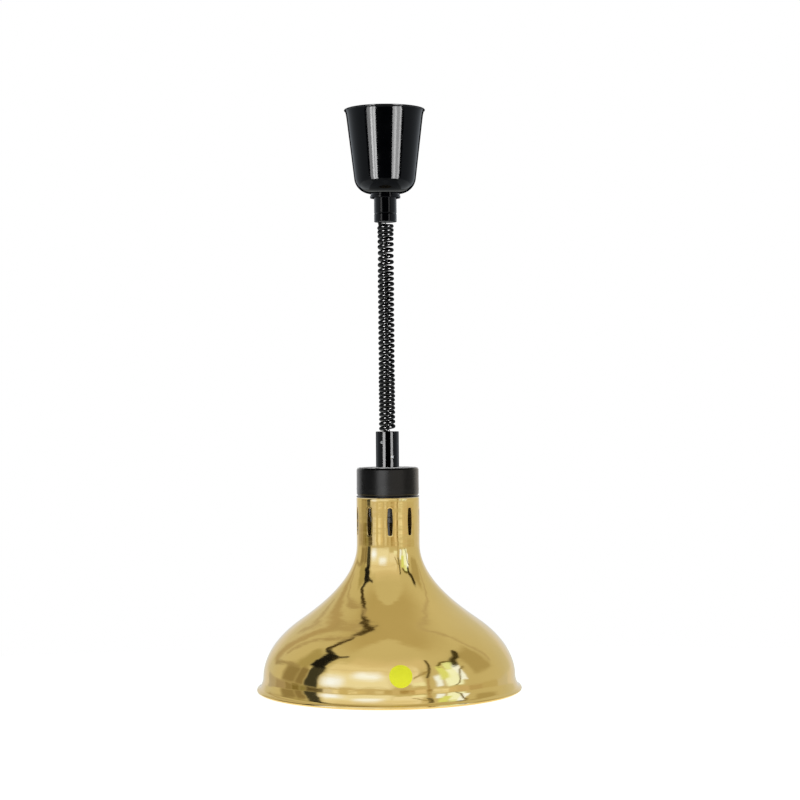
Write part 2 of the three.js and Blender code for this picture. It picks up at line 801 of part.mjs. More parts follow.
// The bell's outline is three curves. The numbers inside each one place its handles, which set how long the
// curve keeps its direction at either end.
function shadeOutline(steps = 5) {
  const [sx, sz] = SHOULDER;
  const [dx, dz] = [Math.sin(SHOULDER_ANGLE), -Math.cos(SHOULDER_ANGLE)];
  const hollow = bezier(
    [NECK_R, NECK_END_Z],
    [NECK_R, NECK_END_Z - 40],
    [sx - 20.5 * dx, sz - 20.5 * dz],
    [sx, sz],
    steps,
  );
  const round = bezier(
    [sx, sz],
    [sx + 22.6 * dx, sz + 22.6 * dz],
    [BODY_R, BODY_END_Z + 26],
    [BODY_R, BODY_END_Z],
    steps,
  );
  const flare = bezier(
    [BODY_R, BODY_END_Z],
    [BODY_R + 0.5, BODY_END_Z - 5],
    [RIM_R - 5, RIM_Z + 6],
    [RIM_R - BEAD_R * 1.5, RIM_Z + BEAD_R * 0.8],
    3,
  );
  return [...hollow, ...round.slice(1), ...flare.slice(1)];
}

function shade(screwAngles) {
  const holderHoleR = 20.8 + GAP;
  const corner = 1.6;
  const outside = [
    ...arc(NECK_R - corner, SHADE_TOP_Z - corner, corner, 90, 0, 3),
    ...shadeOutline(),
  ];
  const inside = beside(outside, -SHADE_WALL).reverse();
  const bead = arc(RIM_R - BEAD_R, RIM_Z, BEAD_R, 60, -190, 6);
  const profile = [
    [holderHoleR, SHADE_TOP_Z],
    ...outside.slice(0, -1),
    ...bead,
    ...inside.slice(1),
    [holderHoleR, SHADE_TOP_Z - SHADE_WALL],
  ];
  const wall = turned(profile, SHADE_SIDES);
  const slots = Array.from({ length: SLOTS }, (_, i) => {
    const outline = [
      ...arc(0, SLOT_TOP_Z - SLOT_R, SLOT_R, 0, 180, 5),
      ...arc(0, SLOT_END_Z + SLOT_R, SLOT_R, 180, 360, 5),
    ];
    return plateXZ(outline, NECK_R - 4, NECK_R + 4)
      .rotateZ(FIRST_SLOT - Math.PI / 2 + (i * 2 * Math.PI) / SLOTS);
  });
  const screwHoles = screwAngles.map((a) =>
    rod(2.2, SHADE_TOP_Z + 2, SHADE_TOP_Z - SHADE_WALL - 2, 12).translate(
      PILLAR_RING_R * Math.cos(a),
      PILLAR_RING_R * Math.sin(a),
      0,
    ),
  );
  add("shade", cut(wall, ...slots, ...screwHoles), GOLD);
}

// A plain round sticker that follows the shade's surface.
function sticker() {
  const near = shadeOutline().filter(([, z]) => Math.abs(z - STICKER_Z) < STICKER_R + 8);
  const film = turned([...beside(near, GAP), ...beside(near, GAP + 0.3).reverse()], SHADE_SIDES);
  const disc = rod(STICKER_R, BODY_R + 9, BODY_R - 14, 32)
    .rotateY(Math.PI / 2)
    .rotateZ(STICKER_ANGLE)
    .translate(0, 0, STICKER_Z);
  add("blank_sticker", geometryOf(solid(film).intersect(solid(disc))), STICKER_YELLOW);
}

// ---------------------------------------------------------------- lampholder and bulb

function lampholder() {
  const wireRoomR = 12;
  const wireRoomZ = -405;
  const floorTop = SOCKET_Z + 3;
  const stepZ = -446; // a step down to the rim
  const rimR = HOLDER_R - 1.2;
  add(
    "lampholder",
    turned(
      [
        [0, floorTop],
        [wireRoomR, floorTop],
        [wireRoomR, wireRoomZ],
        [NIPPLE_R + GAP, wireRoomZ],
        [NIPPLE_R + GAP, HOLDER_TOP_Z],
        [10, HOLDER_TOP_Z],
        [10, -402],
        ...arc(HOLDER_R - 6, -409, 6, 60, 0, 4),
        [HOLDER_R, stepZ],
        [rimR, stepZ - 1],
        [rimR, HOLDER_END_Z + 1],
        [rimR - 1, HOLDER_END_Z],
        [HOLDER_BORE_R, HOLDER_END_Z],
        [HOLDER_BORE_R, SOCKET_Z],
        [0, SOCKET_Z],
      ],
      22,
    ),
    CERAMIC,
  );
  const shellTop = SOCKET_Z - 4;
  const shellEnd = BULB_CAP_END_Z + 1;
  const contactTop = SOCKET_Z - GAP;
  add("holder_shell", tube(BULB_CAP_R + 0.5, BULB_CAP_R + 1.3, shellTop, shellEnd, 22), BRASS);
  add("centre_contact", box(-2.5, 10, -2, 2, contactTop - 1, contactTop), BRASS);
  [-1, 1].forEach((side) => {
    const path = [
      [side * 1.3, 0, NIPPLE_END_Z - 0.4],
      [side * 1.6, 0, NIPPLE_END_Z - 2],
      [side * 4.5, 0, NIPPLE_END_Z - 4.6],
      [side * 8.5, 0, NIPPLE_END_Z - 6.6],
    ];
    add(side < 0 ? "lead_neutral" : "lead_live", cordAlong(path, 0.9, 8, 8), LEAD_WHITE);
  });
}

function bulb() {
  const neckZ = BULB_CAP_END_Z - GAP;
  const threads = 5;
  const pitch = 4;
  const thread = Array.from({ length: threads }, (_, i) => {
    const z = BULB_TOP_Z - 3 - i * pitch;
    return [
      [BULB_CAP_R - 0.8, z],
      [BULB_CAP_R, z - pitch * 0.5],
    ];
  }).flat();
  add(
    "bulb_screw_cap",
    turned(
      [
        [0, BULB_TOP_Z],
        [4.5, BULB_TOP_Z],
        [5, BULB_TOP_Z - 1],
        [11, BULB_TOP_Z - 2.4],
        ...thread,
        [BULB_CAP_R - 0.8, BULB_CAP_END_Z],
        [0, BULB_CAP_END_Z],
      ],
      16,
    ),
    BRASS,
  );
  const coneTop = [BULB_NECK_R, HOLDER_END_Z - 2];
  const cone = bezier(coneTop, [19, -486], [56, -520], [BULB_R - 0.5, -560], 7);
  const face = bezier([BULB_R, -566], [BULB_R, -580], [44, BULB_FACE_Z], [0, BULB_FACE_Z], 6);
  // The glass is a shell that is open at the neck, where the stem goes in.
  const outside = [[BULB_CAP_R - 0.8, neckZ], [BULB_NECK_R, neckZ - 4], ...cone, ...face];
  const inside = beside(outside.slice(0, -1), -GLASS_T).reverse();
  add(
    "bulb_envelope",
    turned([...outside, [0, BULB_FACE_Z + GLASS_T], ...inside], 24),
    GLASS,
  );
  add("bulb_stem", rod(4, neckZ - 1, STEM_END_Z, 10), CLEAR_GLASS);
  const loop = arc(0, 0, FILAMENT_R, 110, 430, 8).map(([x, y]) => [x, y, STEM_END_Z - 9]);
  const leg = (side) => [
    [side * 1.8, 0.8, STEM_END_Z - GAP],
    [side * 2.6, 4, STEM_END_Z - 5],
  ];
  const wire = [...leg(-1), ...loop, ...leg(1).reverse()];
  add("filament", cordAlong(wire, FILAMENT_WIRE_R, 6, 34), TUNGSTEN);
}

// ---------------------------------------------------------------- the lamp

ceilingPlate();
sidePlate("retractor_plate_front", -1);
sidePlate("retractor_plate_back", 1);
SPACERS.forEach(spacer);
retractorBase();
drum();
woundCable();
mainspring();
axle();
spigot();
ceilingCup();
cupCollar();
wiring();
hangingCord();
sleeve();
const screwAngles = lampCap();
shade(screwAngles);
sticker();
lampholder();
bulb();

export default lamp;
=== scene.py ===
"""A rise-and-fall heat lamp: black ceiling cup, curly cord round a steel cable, sleeve, cap and gold shade.

Sizes are in millimetres, those of the CAD frame, and become metres as each mesh is made.
The lamp hangs below z = 0, and its front is -Y.
"""

import json
import math

import bmesh
import bpy
import numpy as np
from mathutils import Matrix, Vector
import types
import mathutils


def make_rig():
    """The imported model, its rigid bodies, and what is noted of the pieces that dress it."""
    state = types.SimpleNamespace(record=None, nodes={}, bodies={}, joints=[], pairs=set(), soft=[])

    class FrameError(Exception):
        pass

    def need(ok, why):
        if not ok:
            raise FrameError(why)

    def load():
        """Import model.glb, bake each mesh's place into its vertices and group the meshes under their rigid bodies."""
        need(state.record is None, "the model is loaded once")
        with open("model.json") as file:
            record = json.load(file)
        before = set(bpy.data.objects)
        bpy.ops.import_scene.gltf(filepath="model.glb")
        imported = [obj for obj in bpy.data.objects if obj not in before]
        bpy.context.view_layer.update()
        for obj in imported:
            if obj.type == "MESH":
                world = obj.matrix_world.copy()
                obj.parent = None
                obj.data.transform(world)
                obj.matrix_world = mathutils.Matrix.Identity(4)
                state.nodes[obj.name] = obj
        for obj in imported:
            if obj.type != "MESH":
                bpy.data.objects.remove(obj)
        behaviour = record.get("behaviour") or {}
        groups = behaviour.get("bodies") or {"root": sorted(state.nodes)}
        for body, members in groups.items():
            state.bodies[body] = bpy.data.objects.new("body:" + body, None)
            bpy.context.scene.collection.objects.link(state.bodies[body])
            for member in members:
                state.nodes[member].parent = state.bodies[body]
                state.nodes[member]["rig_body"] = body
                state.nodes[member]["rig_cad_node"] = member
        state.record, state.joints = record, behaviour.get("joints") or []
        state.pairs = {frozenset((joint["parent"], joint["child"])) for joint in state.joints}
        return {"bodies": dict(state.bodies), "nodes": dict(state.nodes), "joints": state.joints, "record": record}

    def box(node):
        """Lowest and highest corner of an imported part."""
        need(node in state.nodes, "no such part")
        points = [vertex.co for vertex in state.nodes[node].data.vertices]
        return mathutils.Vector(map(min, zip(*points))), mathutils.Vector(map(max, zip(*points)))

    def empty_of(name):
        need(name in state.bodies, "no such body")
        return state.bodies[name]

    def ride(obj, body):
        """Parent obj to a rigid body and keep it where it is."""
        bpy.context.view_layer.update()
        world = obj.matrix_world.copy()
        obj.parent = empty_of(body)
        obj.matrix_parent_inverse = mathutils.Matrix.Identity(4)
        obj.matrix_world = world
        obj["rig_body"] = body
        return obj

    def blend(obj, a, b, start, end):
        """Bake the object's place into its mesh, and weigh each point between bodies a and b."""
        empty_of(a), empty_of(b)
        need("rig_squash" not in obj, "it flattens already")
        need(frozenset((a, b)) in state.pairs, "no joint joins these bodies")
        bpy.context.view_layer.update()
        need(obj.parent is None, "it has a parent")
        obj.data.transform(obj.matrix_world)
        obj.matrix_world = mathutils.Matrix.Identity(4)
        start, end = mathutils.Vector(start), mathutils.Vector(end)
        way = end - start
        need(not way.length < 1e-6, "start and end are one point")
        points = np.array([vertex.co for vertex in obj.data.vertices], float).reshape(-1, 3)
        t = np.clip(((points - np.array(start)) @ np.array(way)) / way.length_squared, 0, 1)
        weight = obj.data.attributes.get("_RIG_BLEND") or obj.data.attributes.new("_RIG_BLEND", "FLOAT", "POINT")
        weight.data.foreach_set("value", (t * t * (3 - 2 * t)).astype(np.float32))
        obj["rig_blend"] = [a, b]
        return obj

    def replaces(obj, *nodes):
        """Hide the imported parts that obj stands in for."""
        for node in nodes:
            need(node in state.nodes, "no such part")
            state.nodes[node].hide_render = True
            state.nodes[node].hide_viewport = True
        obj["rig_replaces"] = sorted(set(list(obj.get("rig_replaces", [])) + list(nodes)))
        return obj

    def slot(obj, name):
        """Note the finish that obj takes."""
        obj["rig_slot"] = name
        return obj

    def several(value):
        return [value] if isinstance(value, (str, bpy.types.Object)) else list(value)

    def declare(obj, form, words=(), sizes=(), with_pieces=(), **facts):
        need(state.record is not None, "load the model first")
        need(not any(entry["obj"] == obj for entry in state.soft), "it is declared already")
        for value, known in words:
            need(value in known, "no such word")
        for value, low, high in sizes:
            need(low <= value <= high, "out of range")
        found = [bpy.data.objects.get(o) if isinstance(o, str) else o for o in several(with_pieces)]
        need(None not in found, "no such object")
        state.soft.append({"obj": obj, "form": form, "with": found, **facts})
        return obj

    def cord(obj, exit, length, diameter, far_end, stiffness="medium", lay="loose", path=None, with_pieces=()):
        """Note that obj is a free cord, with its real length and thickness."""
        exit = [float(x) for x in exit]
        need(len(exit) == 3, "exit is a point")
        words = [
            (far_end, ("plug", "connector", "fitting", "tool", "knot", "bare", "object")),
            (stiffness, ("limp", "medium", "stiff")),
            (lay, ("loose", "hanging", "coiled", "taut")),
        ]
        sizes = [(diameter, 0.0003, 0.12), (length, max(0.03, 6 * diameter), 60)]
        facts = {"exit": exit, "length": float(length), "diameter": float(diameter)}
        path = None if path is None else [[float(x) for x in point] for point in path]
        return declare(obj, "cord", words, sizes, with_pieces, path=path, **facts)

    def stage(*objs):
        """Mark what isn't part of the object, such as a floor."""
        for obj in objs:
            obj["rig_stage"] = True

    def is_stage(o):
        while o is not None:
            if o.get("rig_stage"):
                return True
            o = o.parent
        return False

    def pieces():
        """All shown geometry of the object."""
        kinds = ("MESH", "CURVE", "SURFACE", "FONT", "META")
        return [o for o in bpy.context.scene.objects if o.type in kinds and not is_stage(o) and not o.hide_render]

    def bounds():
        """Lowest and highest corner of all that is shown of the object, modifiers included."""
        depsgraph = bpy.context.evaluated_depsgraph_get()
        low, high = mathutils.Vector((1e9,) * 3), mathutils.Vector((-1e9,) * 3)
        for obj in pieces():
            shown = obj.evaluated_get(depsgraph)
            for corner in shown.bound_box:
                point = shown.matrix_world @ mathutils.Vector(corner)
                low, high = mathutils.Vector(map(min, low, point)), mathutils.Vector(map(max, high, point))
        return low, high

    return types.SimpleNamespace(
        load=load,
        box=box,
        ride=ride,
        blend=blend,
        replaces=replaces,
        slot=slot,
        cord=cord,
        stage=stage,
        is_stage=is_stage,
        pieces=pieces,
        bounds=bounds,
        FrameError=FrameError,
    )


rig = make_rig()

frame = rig.load()
cad_low, cad_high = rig.bounds()

MM = 0.001
FRONT = -math.pi / 2
NODES = frame["nodes"]


def top_and_end(node):
    """The highest and the lowest Z of a CAD node, in millimetres."""
    low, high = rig.box(node)
    return high[2] / MM, low[2] / MM


# ---------------------------------------------------------------- sizes, in millimetres

SIDES = 144  # columns round every turned surface: a multiple of the nine slots and of the twelve vents

CUP_WALL = 1.3
CUP_RIM_R = 44.4
CUP_BOTTOM_Z = -92.2
CUP_CORNER_R = 18
CUP_CORNER_X = 15.9
CUP_SLOPE = 0.12
CUP_HOLE_R = 10.1

COLLAR_TOP_Z, COLLAR_END_Z = top_and_end("cup_collar")
COLLAR_R = 12.3
COLLAR_FLANGE_R = 16.6
COLLAR_BORE_R = 10.2

CORD_R = 2.2
TURN_R = 6.75  # middle of the cord in the coil
COIL_TOP_Z = -125.8
COIL_END_Z = -351.5
COIL_TURNS = 42.25
# From the top: how many turns, and how far apart they are before all are fitted to the coil's length.
COIL_ZONES = ((3, 4.5), (2, 6.0), (4, 6.7), (18, 5.75), (3, 5.2), (8, 4.45), (4.25, 5.2))
COIL_STEPS = 24  # points for each turn
SHORTENING = 36  # how far the lamp rises above rest, when every turn touches the next
CORD_MOUTH_X = -5.6
CORD_START_Z = -117.9
BUSH_R = 8.8
BUSH_TOP_Z = -118.8
BUSH_END_Z = -122.8
BUSH_EDGE = 0.15  # the rounding of the bush's edges
BUSH_SLOT = (-0.9, 1.4)  # Y of the middles of the slot's two round ends
CABLE_R = 0.75
CABLE_START_Z, CABLE_END_Z = top_and_end("steel_cable")

SLEEVE_R = 12.6
SLEEVE_WALL = 1.5
SLEEVE_TOP_Z, SLEEVE_END_Z = top_and_end("lower_sleeve")
SLEEVE_GRUBS = ((-30, -365.2), (25, -381))  # degrees from the front, and height
GRUB_HOLE_R = 1.8

CAP_TOP_Z, CAP_END_Z = top_and_end("lamp_cap")
CAP_R = 34
CAP_WALL = 1.8
CAP_ROOF = 2
NIPPLE_HOLE_R = 5.3
PILLAR_RING_R = 26

SHADE_WALL = 1.2
SHADE_TOP_Z, _ = top_and_end("shade")
SHADE_HOLE_R = 21.1
NECK_R = 34.4
NECK_END_Z = -477.3
SHOULDER = (100, -561.3)
SHOULDER_SLOPE = math.radians(54.3)
BODY_R = 138
BODY_END_Z = -621
RIM_R = 145
BEAD_R = 1.9
RIM_Z = -634.3
SLOTS = 9
SLOT_TOP_Z = -434.7
SLOT_END_Z = -465.8
SLOT_R = 3.05
FIRST_SLOT = math.radians(4)
STICKER_R = 12
STICKER_Z = -603
STICKER_ANGLE = math.radians(5.4)

HOLDER_TOP_Z, HOLDER_END_Z = top_and_end("lampholder")
HOLDER_R = 20.5
HOLDER_BORE_R = 15.2
SOCKET_Z = -414.5
BULB_TOP_Z = -417.5
BULB_CAP_R = 13.2
BULB_CAP_END_Z = -443
BULB_R = 62.5
BULB_FACE_Z = -592
SILVER_END_Z = -563  # the bulb is silvered above this
GLASS_T = 1

# ---------------------------------------------------------------- camera

CAMERA_AT = (0.0143, -2.1, -0.319)
CAMERA_LENS = 86.1
CAMERA_ROLL = math.radians(0.5)


def placed(name, data):
    """A new object, in the scene."""
    made = bpy.data.objects.new(name, data)
    bpy.context.scene.collection.objects.link(made)
    return made


def camera():
    data = bpy.data.cameras.new("camera")
    data.lens = CAMERA_LENS
    data.clip_end = 60
    eye = placed("camera", data)
    eye.location = CAMERA_AT
    eye.rotation_euler = (math.pi / 2, CAMERA_ROLL, 0)
    bpy.context.scene.camera = eye


camera()
bpy.context.scene.view_settings.view_transform = "Standard"

# ---------------------------------------------------------------- outlines


def arc(cx, cy, r, start, end, steps):
    """Points on a circle, from one angle to another in degrees."""
    angles = [math.radians(start + (end - start) * i / steps) for i in range(steps + 1)]
    return [(cx + r * math.cos(a), cy + r * math.sin(a)) for a in angles]


def bezier(a, b, c, d, steps):
    """Points on the cubic curve from a to d that heads for b and comes in from c."""
    points = []
    for i in range(steps + 1):
        t = i / steps
        k = ((1 - t) ** 3, 3 * t * (1 - t) ** 2, 3 * t * t * (1 - t), t**3)
        points.append(tuple(sum(w * p[n] for w, p in zip(k, (a, b, c, d))) for n in (0, 1)))
    return points


def beside(outline, distance):
    """The outline moved sideways; positive is to the left of its direction."""
    moved = []
    for i, (x, y) in enumerate(outline):
        ax, ay = outline[max(i - 1, 0)]
        bx, by = outline[min(i + 1, len(outline) - 1)]
        length = math.hypot(bx - ax, by - ay)
        moved.append((x - distance * (by - ay) / length, y + distance * (bx - ax) / length))
    return moved


# ---------------------------------------------------------------- mesh building


class Build:
    """Collects the points and faces of one mesh, in millimetres."""

    def __init__(self):
        self.points, self.faces = [], []

    def add(self, points):
        first = len(self.points)
        self.points += [tuple(p) for p in points]
        return list(range(first, len(self.points)))

    def ring(self, r, z, turn=0.0, sides=SIDES):
        """A ring of points about Z that starts turn radians from the front."""
        angles = [FRONT + turn + 2 * math.pi * i / sides for i in range(sides)]
        return self.add([(r * math.cos(a), r * math.sin(a), z) for a in angles])

    def bridge(self, a, b):
        """Joins two rings with four-sided faces."""
        for i in range(len(a)):
            j = (i + 1) % len(a)
            self.faces.append((a[i], a[j], b[j], b[i]))

    def fan(self, ring, centre):
        middle = self.add([centre])[0]
        for i, v in enumerate(ring):
            self.faces.append((v, ring[(i + 1) % len(ring)], middle))

    def turned(self, profile, turn=0.0, sides=SIDES, closed=True):
        """Rings for a profile of (radius, z), joined in order. An end at radius 0 closes to a point."""
        rings = [self.ring(r, z, turn, sides) for r, z in profile if r > 0]
        for a, b in zip(rings, rings[1:]):
            self.bridge(a, b)
        if profile[0][0] == 0:
            self.fan(rings[0], (0, 0, profile[0][1]))
        if profile[-1][0] == 0:
            self.fan(rings[-1], (0, 0, profile[-1][1]))
        if closed and profile[0][0] > 0 and profile[-1][0] > 0:
            self.bridge(rings[-1], rings[0])
        return rings

    def make(self, name, materials, sharp=30):
        """The finished object, in metres, with its faces turned outwards and shaded smooth up to an angle."""
        mesh = bpy.data.meshes.new(name)
        mesh.from_pydata([[c * MM for c in p] for p in self.points], [], self.faces)
        work = bmesh.new()
        work.from_mesh(mesh)
        bmesh.ops.delete(work, geom=[v for v in work.verts if not v.link_faces], context="VERTS")
        bmesh.ops.recalc_face_normals(work, faces=work.faces)
        work.to_mesh(mesh)
        work.free()
        mesh.polygons.foreach_set("use_smooth", [True] * len(mesh.polygons))
        mesh.set_sharp_from_angle(angle=math.radians(sharp))
        for material in materials:
            mesh.materials.append(material)
        return placed(name, mesh)


def rim_of(grid, rows, columns):
    """The vertices round a rectangle of a grid of rings, as one loop. rows and columns are (first, last)."""
    (r0, r1), (c0, c1) = rows, columns
    n = len(grid[0])
    loop = [grid[r0][c % n] for c in range(c0, c1)]
    loop += [grid[r][c1 % n] for r in range(r0, r1)]
    loop += [grid[r1][c % n] for c in range(c1, c0, -1)]
    return loop + [grid[r][c0 % n] for r in range(r1, r0, -1)]


def bridge_grid(build, grid, windows):
    """Joins a grid's rings but for the rectangles in windows, each ((row, row), (column, column))."""
    n = len(grid[0])
    left_out = {
        (r, c % n) for (r0, r1), (c0, c1) in windows for r in range(r0, r1) for c in range(c0, c1)
    }
    for r, (a, b) in enumerate(zip(grid, grid[1:])):
        for c in range(n):
            if (r, c) not in left_out:
                d = (c + 1) % n
                build.faces.append((a[c], a[d], b[d], b[c]))


WINDOW_RINGS = 5
WINDOW_EDGE = 0.22  # the rounding of a window's edges


def window(build, outer_loop, inner_loop, to_flat, from_flat, thickness, spine, radius):
    """Fills the rectangles left in two skins with an obround window through both, its edges rounded.

    to_flat gives a point's place (u, v) about the window's middle, and from_flat the point at (u, v, depth).
    spine is half the straight part of the window along v.
    """
    flat = [to_flat(build.points[i]) for i in outer_loop]
    height = max(abs(v) for _, v in flat)

    def edge_at(u, v, grow):
        middle = max(-spine, min(spine, v * spine / height)) if spine else 0
        away = math.hypot(u, v - middle)
        reach = (radius + grow) / away
        return u * reach, middle + (v - middle) * reach

    def outline(grow, depth):
        return build.add([from_flat(*edge_at(u, v, grow), depth) for u, v in flat])

    def skin(loop, depth, lip_depth):
        last = loop
        for k in range(1, WINDOW_RINGS):
            share = (k / WINDOW_RINGS) ** 0.8
            ring = []
            for u, v in flat:
                eu, ev = edge_at(u, v, WINDOW_EDGE)
                ring.append(from_flat(u + (eu - u) * share, v + (ev - v) * share, depth))
            ring = build.add(ring)
            build.bridge(last, ring)
            last = ring
        rounded = outline(WINDOW_EDGE, depth)
        build.bridge(last, rounded)
        half = depth + (lip_depth - depth) * 0.3
        soft = outline(WINDOW_EDGE * 0.3, half)
        build.bridge(rounded, soft)
        lip = outline(0, lip_depth)
        build.bridge(soft, lip)
        return lip

    outside = skin(outer_loop, 0, WINDOW_EDGE)
    inside = skin(inner_loop, thickness, thickness - WINDOW_EDGE)
    build.bridge(outside, inside)


def pierced(build, skins, windows, flats, thickness, spine, radius):
    """Joins the rings of an outer and an inner skin, with a window through each rectangle left out."""
    for grid in skins:
        bridge_grid(build, grid, windows)
    for (rows, columns), flat in zip(windows, flats):
        loops = [rim_of(grid, rows, columns) for grid in skins]
        window(build, *loops, *flat, thickness, spine, radius)


def about_axis(angle, z, radius):
    """to_flat and from_flat for a window in a round wall, its middle at angle from the front and height z."""
    middle = FRONT + angle

    def to_flat(p):
        turn = math.remainder(math.atan2(p[1], p[0]) - middle, 2 * math.pi)
        return turn * radius, p[2] - z

    def from_flat(u, v, depth):
        a = middle + u / radius
        return (radius - depth) * math.cos(a), (radius - depth) * math.sin(a), z + v

    return to_flat, from_flat


def on_roof(angle, r, z):
    """to_flat and from_flat for a window in a flat roof, its middle at angle from the front and radius r."""
    middle = FRONT + angle
    out = (math.cos(middle), math.sin(middle))

    def to_flat(p):
        return p[1] * out[0] - p[0] * out[1], p[0] * out[0] + p[1] * out[1] - r

    def from_flat(u, v, depth):
        return (r + v) * out[0] - u * out[1], (r + v) * out[1] + u * out[0], z - depth

    return to_flat, from_flat


# ---------------------------------------------------------------- materials


class Shader:
    """A Principled material with object coordinates to build its patterns from."""

    def __init__(self, name, **inputs):
        self.material = bpy.data.materials.new(name)
        self.material.use_nodes = True
        self.tree = self.material.node_tree
        self.surface = self.tree.nodes["Principled BSDF"]
        for socket, value in inputs.items():
            self.surface.inputs[socket.replace("_", " ")].default_value = value
        self.place = self.node("ShaderNodeTexCoord").outputs["Object"]

    def node(self, kind, **settings):
        made = self.tree.nodes.new(kind)
        for name, value in settings.items():
            setattr(made, name, value)
        return made

    def link(self, a, b):
        self.tree.links.new(a, b)

    def noise(self, scale, detail=3, stretch=(1, 1, 1)):
        """Noise at scale per metre, stretched along each axis."""
        mapping = self.node("ShaderNodeMapping")
        mapping.inputs["Scale"].default_value = [scale / s for s in stretch]
        self.link(self.place, mapping.inputs["Vector"])
        noise = self.node("ShaderNodeTexNoise")
        noise.inputs["Scale"].default_value = 1
        noise.inputs["Detail"].default_value = detail
        self.link(mapping.outputs["Vector"], noise.inputs["Vector"])
        return noise.outputs["Fac"]

    def spread(self, value, low, high, start=0.3, end=0.7):
        """A value mapped from start..end to low..high."""
        mapped = self.node("ShaderNodeMapRange")
        for socket, number in zip(("From Min", "From Max", "To Min", "To Max"), (start, end, low, high)):
            mapped.inputs[socket].default_value = number
        self.link(value, mapped.inputs["Value"])
        return mapped.outputs["Result"]

    def colours(self, value, first, second):
        """Mixes two colours by a value, into the base colour."""
        mix = self.node("ShaderNodeMix", data_type="RGBA")
        self.link(value, mix.inputs["Factor"])
        mix.inputs["A"].default_value = (*first, 1)
        mix.inputs["B"].default_value = (*second, 1)
        self.link(mix.outputs["Result"], self.surface.inputs["Base Color"])

    def roughness(self, value):
        self.link(value, self.surface.inputs["Roughness"])

    def bump(self, height, distance):
        """Adds a relief of that distance in metres, over the one before it."""
        bump = self.node("ShaderNodeBump")
        bump.inputs["Distance"].default_value = distance
        bump.inputs["Strength"].default_value = 1.0
        self.link(height, bump.inputs["Height"])
        normal = self.surface.inputs["Normal"]
        if normal.is_linked:
            self.link(normal.links[0].from_socket, bump.inputs["Normal"])
        self.link(bump.outputs["Normal"], normal)


GOLD = (0.92, 0.625, 0.225)


def dimmed(colour, factor):
    return tuple(c * factor for c in colour)


def polished_gold():
    """Spun metal, plated and polished: fine rings from the spinning, a slow waviness and faint smears."""
    s = Shader("polished_gold", Metallic=1.0)
    s.colours(s.spread(s.noise(14), 0, 1), GOLD, (0.86, 0.585, 0.205))
    s.roughness(s.spread(s.noise(30, 5), 0.045, 0.095))
    s.bump(s.noise(26, 2, (1, 1, 0.7)), 0.0006)
    s.bump(s.noise(200, 3, (5, 5, 1)), 0.000085)
    s.bump(s.noise(2600, 1, (60, 60, 1)), 0.000004)
    return s.material


def black(name, shine, first, second, scales, low, high, relief):
    """A black surface. The noise of its colour, its roughness and its relief has the three scales."""
    s = Shader(name, Specular_IOR_Level=shine)
    s.colours(s.spread(s.noise(scales[0]), 0, 1), first, second)
    s.roughness(s.spread(s.noise(scales[1], 4), low, high))
    s.bump(s.noise(scales[2], 2), relief)
    return s.material


def metal(name, colour, low, high, grain=(1, 1, 1), spots=260, relief=0.00002):
    """Plated or bare metal, with a grain along the axes where grain is large."""
    s = Shader(name, Metallic=1.0)
    s.colours(s.spread(s.noise(spots, 4), 0, 1), colour, dimmed(colour, 0.78))
    s.roughness(s.spread(s.noise(900, 3, grain), low, high))
    s.bump(s.noise(1400, 3, grain), relief)
    return s.material


def plain(name, colour, low, high, grain_scale, relief, darker=0.82, **inputs):
    """A moulded, fired or rubber surface with a fine grain."""
    s = Shader(name, **inputs)
    s.colours(s.spread(s.noise(grain_scale * 0.2, 4), 0, 1), colour, dimmed(colour, darker))
    s.roughness(s.spread(s.noise(grain_scale * 0.5, 3), low, high))
    s.bump(s.noise(grain_scale, 3), relief)
    return s.material


FINISHES = {
    "gold_shade": polished_gold(),
    # stove enamel with a slight orange peel, powder coat with a pebbled skin, and the cord's PVC
    "gloss_black": black(
        "gloss_black_enamel", 0.05, (0.0012, 0.0014, 0.0022), (0.0028, 0.0030, 0.0042),
        (60, 90, 420), 0.05, 0.11, 0.00002,
    ),
    "satin_black": black(
        "satin_black_coat", 0.3, (0.0030, 0.0028, 0.0030), (0.005, 0.0047, 0.005),
        (300, 120, 2200), 0.26, 0.34, 0.00005,
    ),
    "cord_jacket": black(
        "cord_jacket_pvc", 0.08, (0.0015, 0.0015, 0.0022), (0.003, 0.003, 0.004),
        (200, 500, 1500), 0.15, 0.24, 0.00003,
    ),
    "zinc_steel": metal("zinc_plated_steel", (0.62, 0.64, 0.66), 0.24, 0.42, (1, 1, 6)),
    "spring_steel": metal("blued_spring_steel", (0.17, 0.20, 0.25), 0.22, 0.38, (1, 12, 1)),
    "brass": metal("turned_brass", (0.78, 0.58, 0.28), 0.2, 0.36, (8, 8, 1)),
    "tungsten": metal("tungsten_wire", (0.32, 0.32, 0.34), 0.35, 0.5),
    "nylon": plain("white_nylon", (0.74, 0.72, 0.66), 0.42, 0.56, 700, 0.00003),
    "rubber": plain("black_rubber", (0.014, 0.014, 0.015), 0.6, 0.8, 900, 0.00005),
    "porcelain": plain("dark_brown_glaze", (0.055, 0.05, 0.046), 0.2, 0.34, 300, 0.00004, 0.8),
    "lead_sleeving": plain("woven_lead_sleeving", (0.76, 0.73, 0.66), 0.6, 0.75, 1600, 0.0001),
    "sticker_film": plain(
        "yellow_sticker_film", (0.92, 0.84, 0.02), 0.3, 0.4, 500, 0.00001, 0.93, Specular_IOR_Level=0.2
    ),
    "clear_glass": plain(
        "clear_glass", (0.92, 0.95, 0.95), 0.02, 0.05, 200, 0.000005, 0.98, Transmission_Weight=1.0
    ),
}


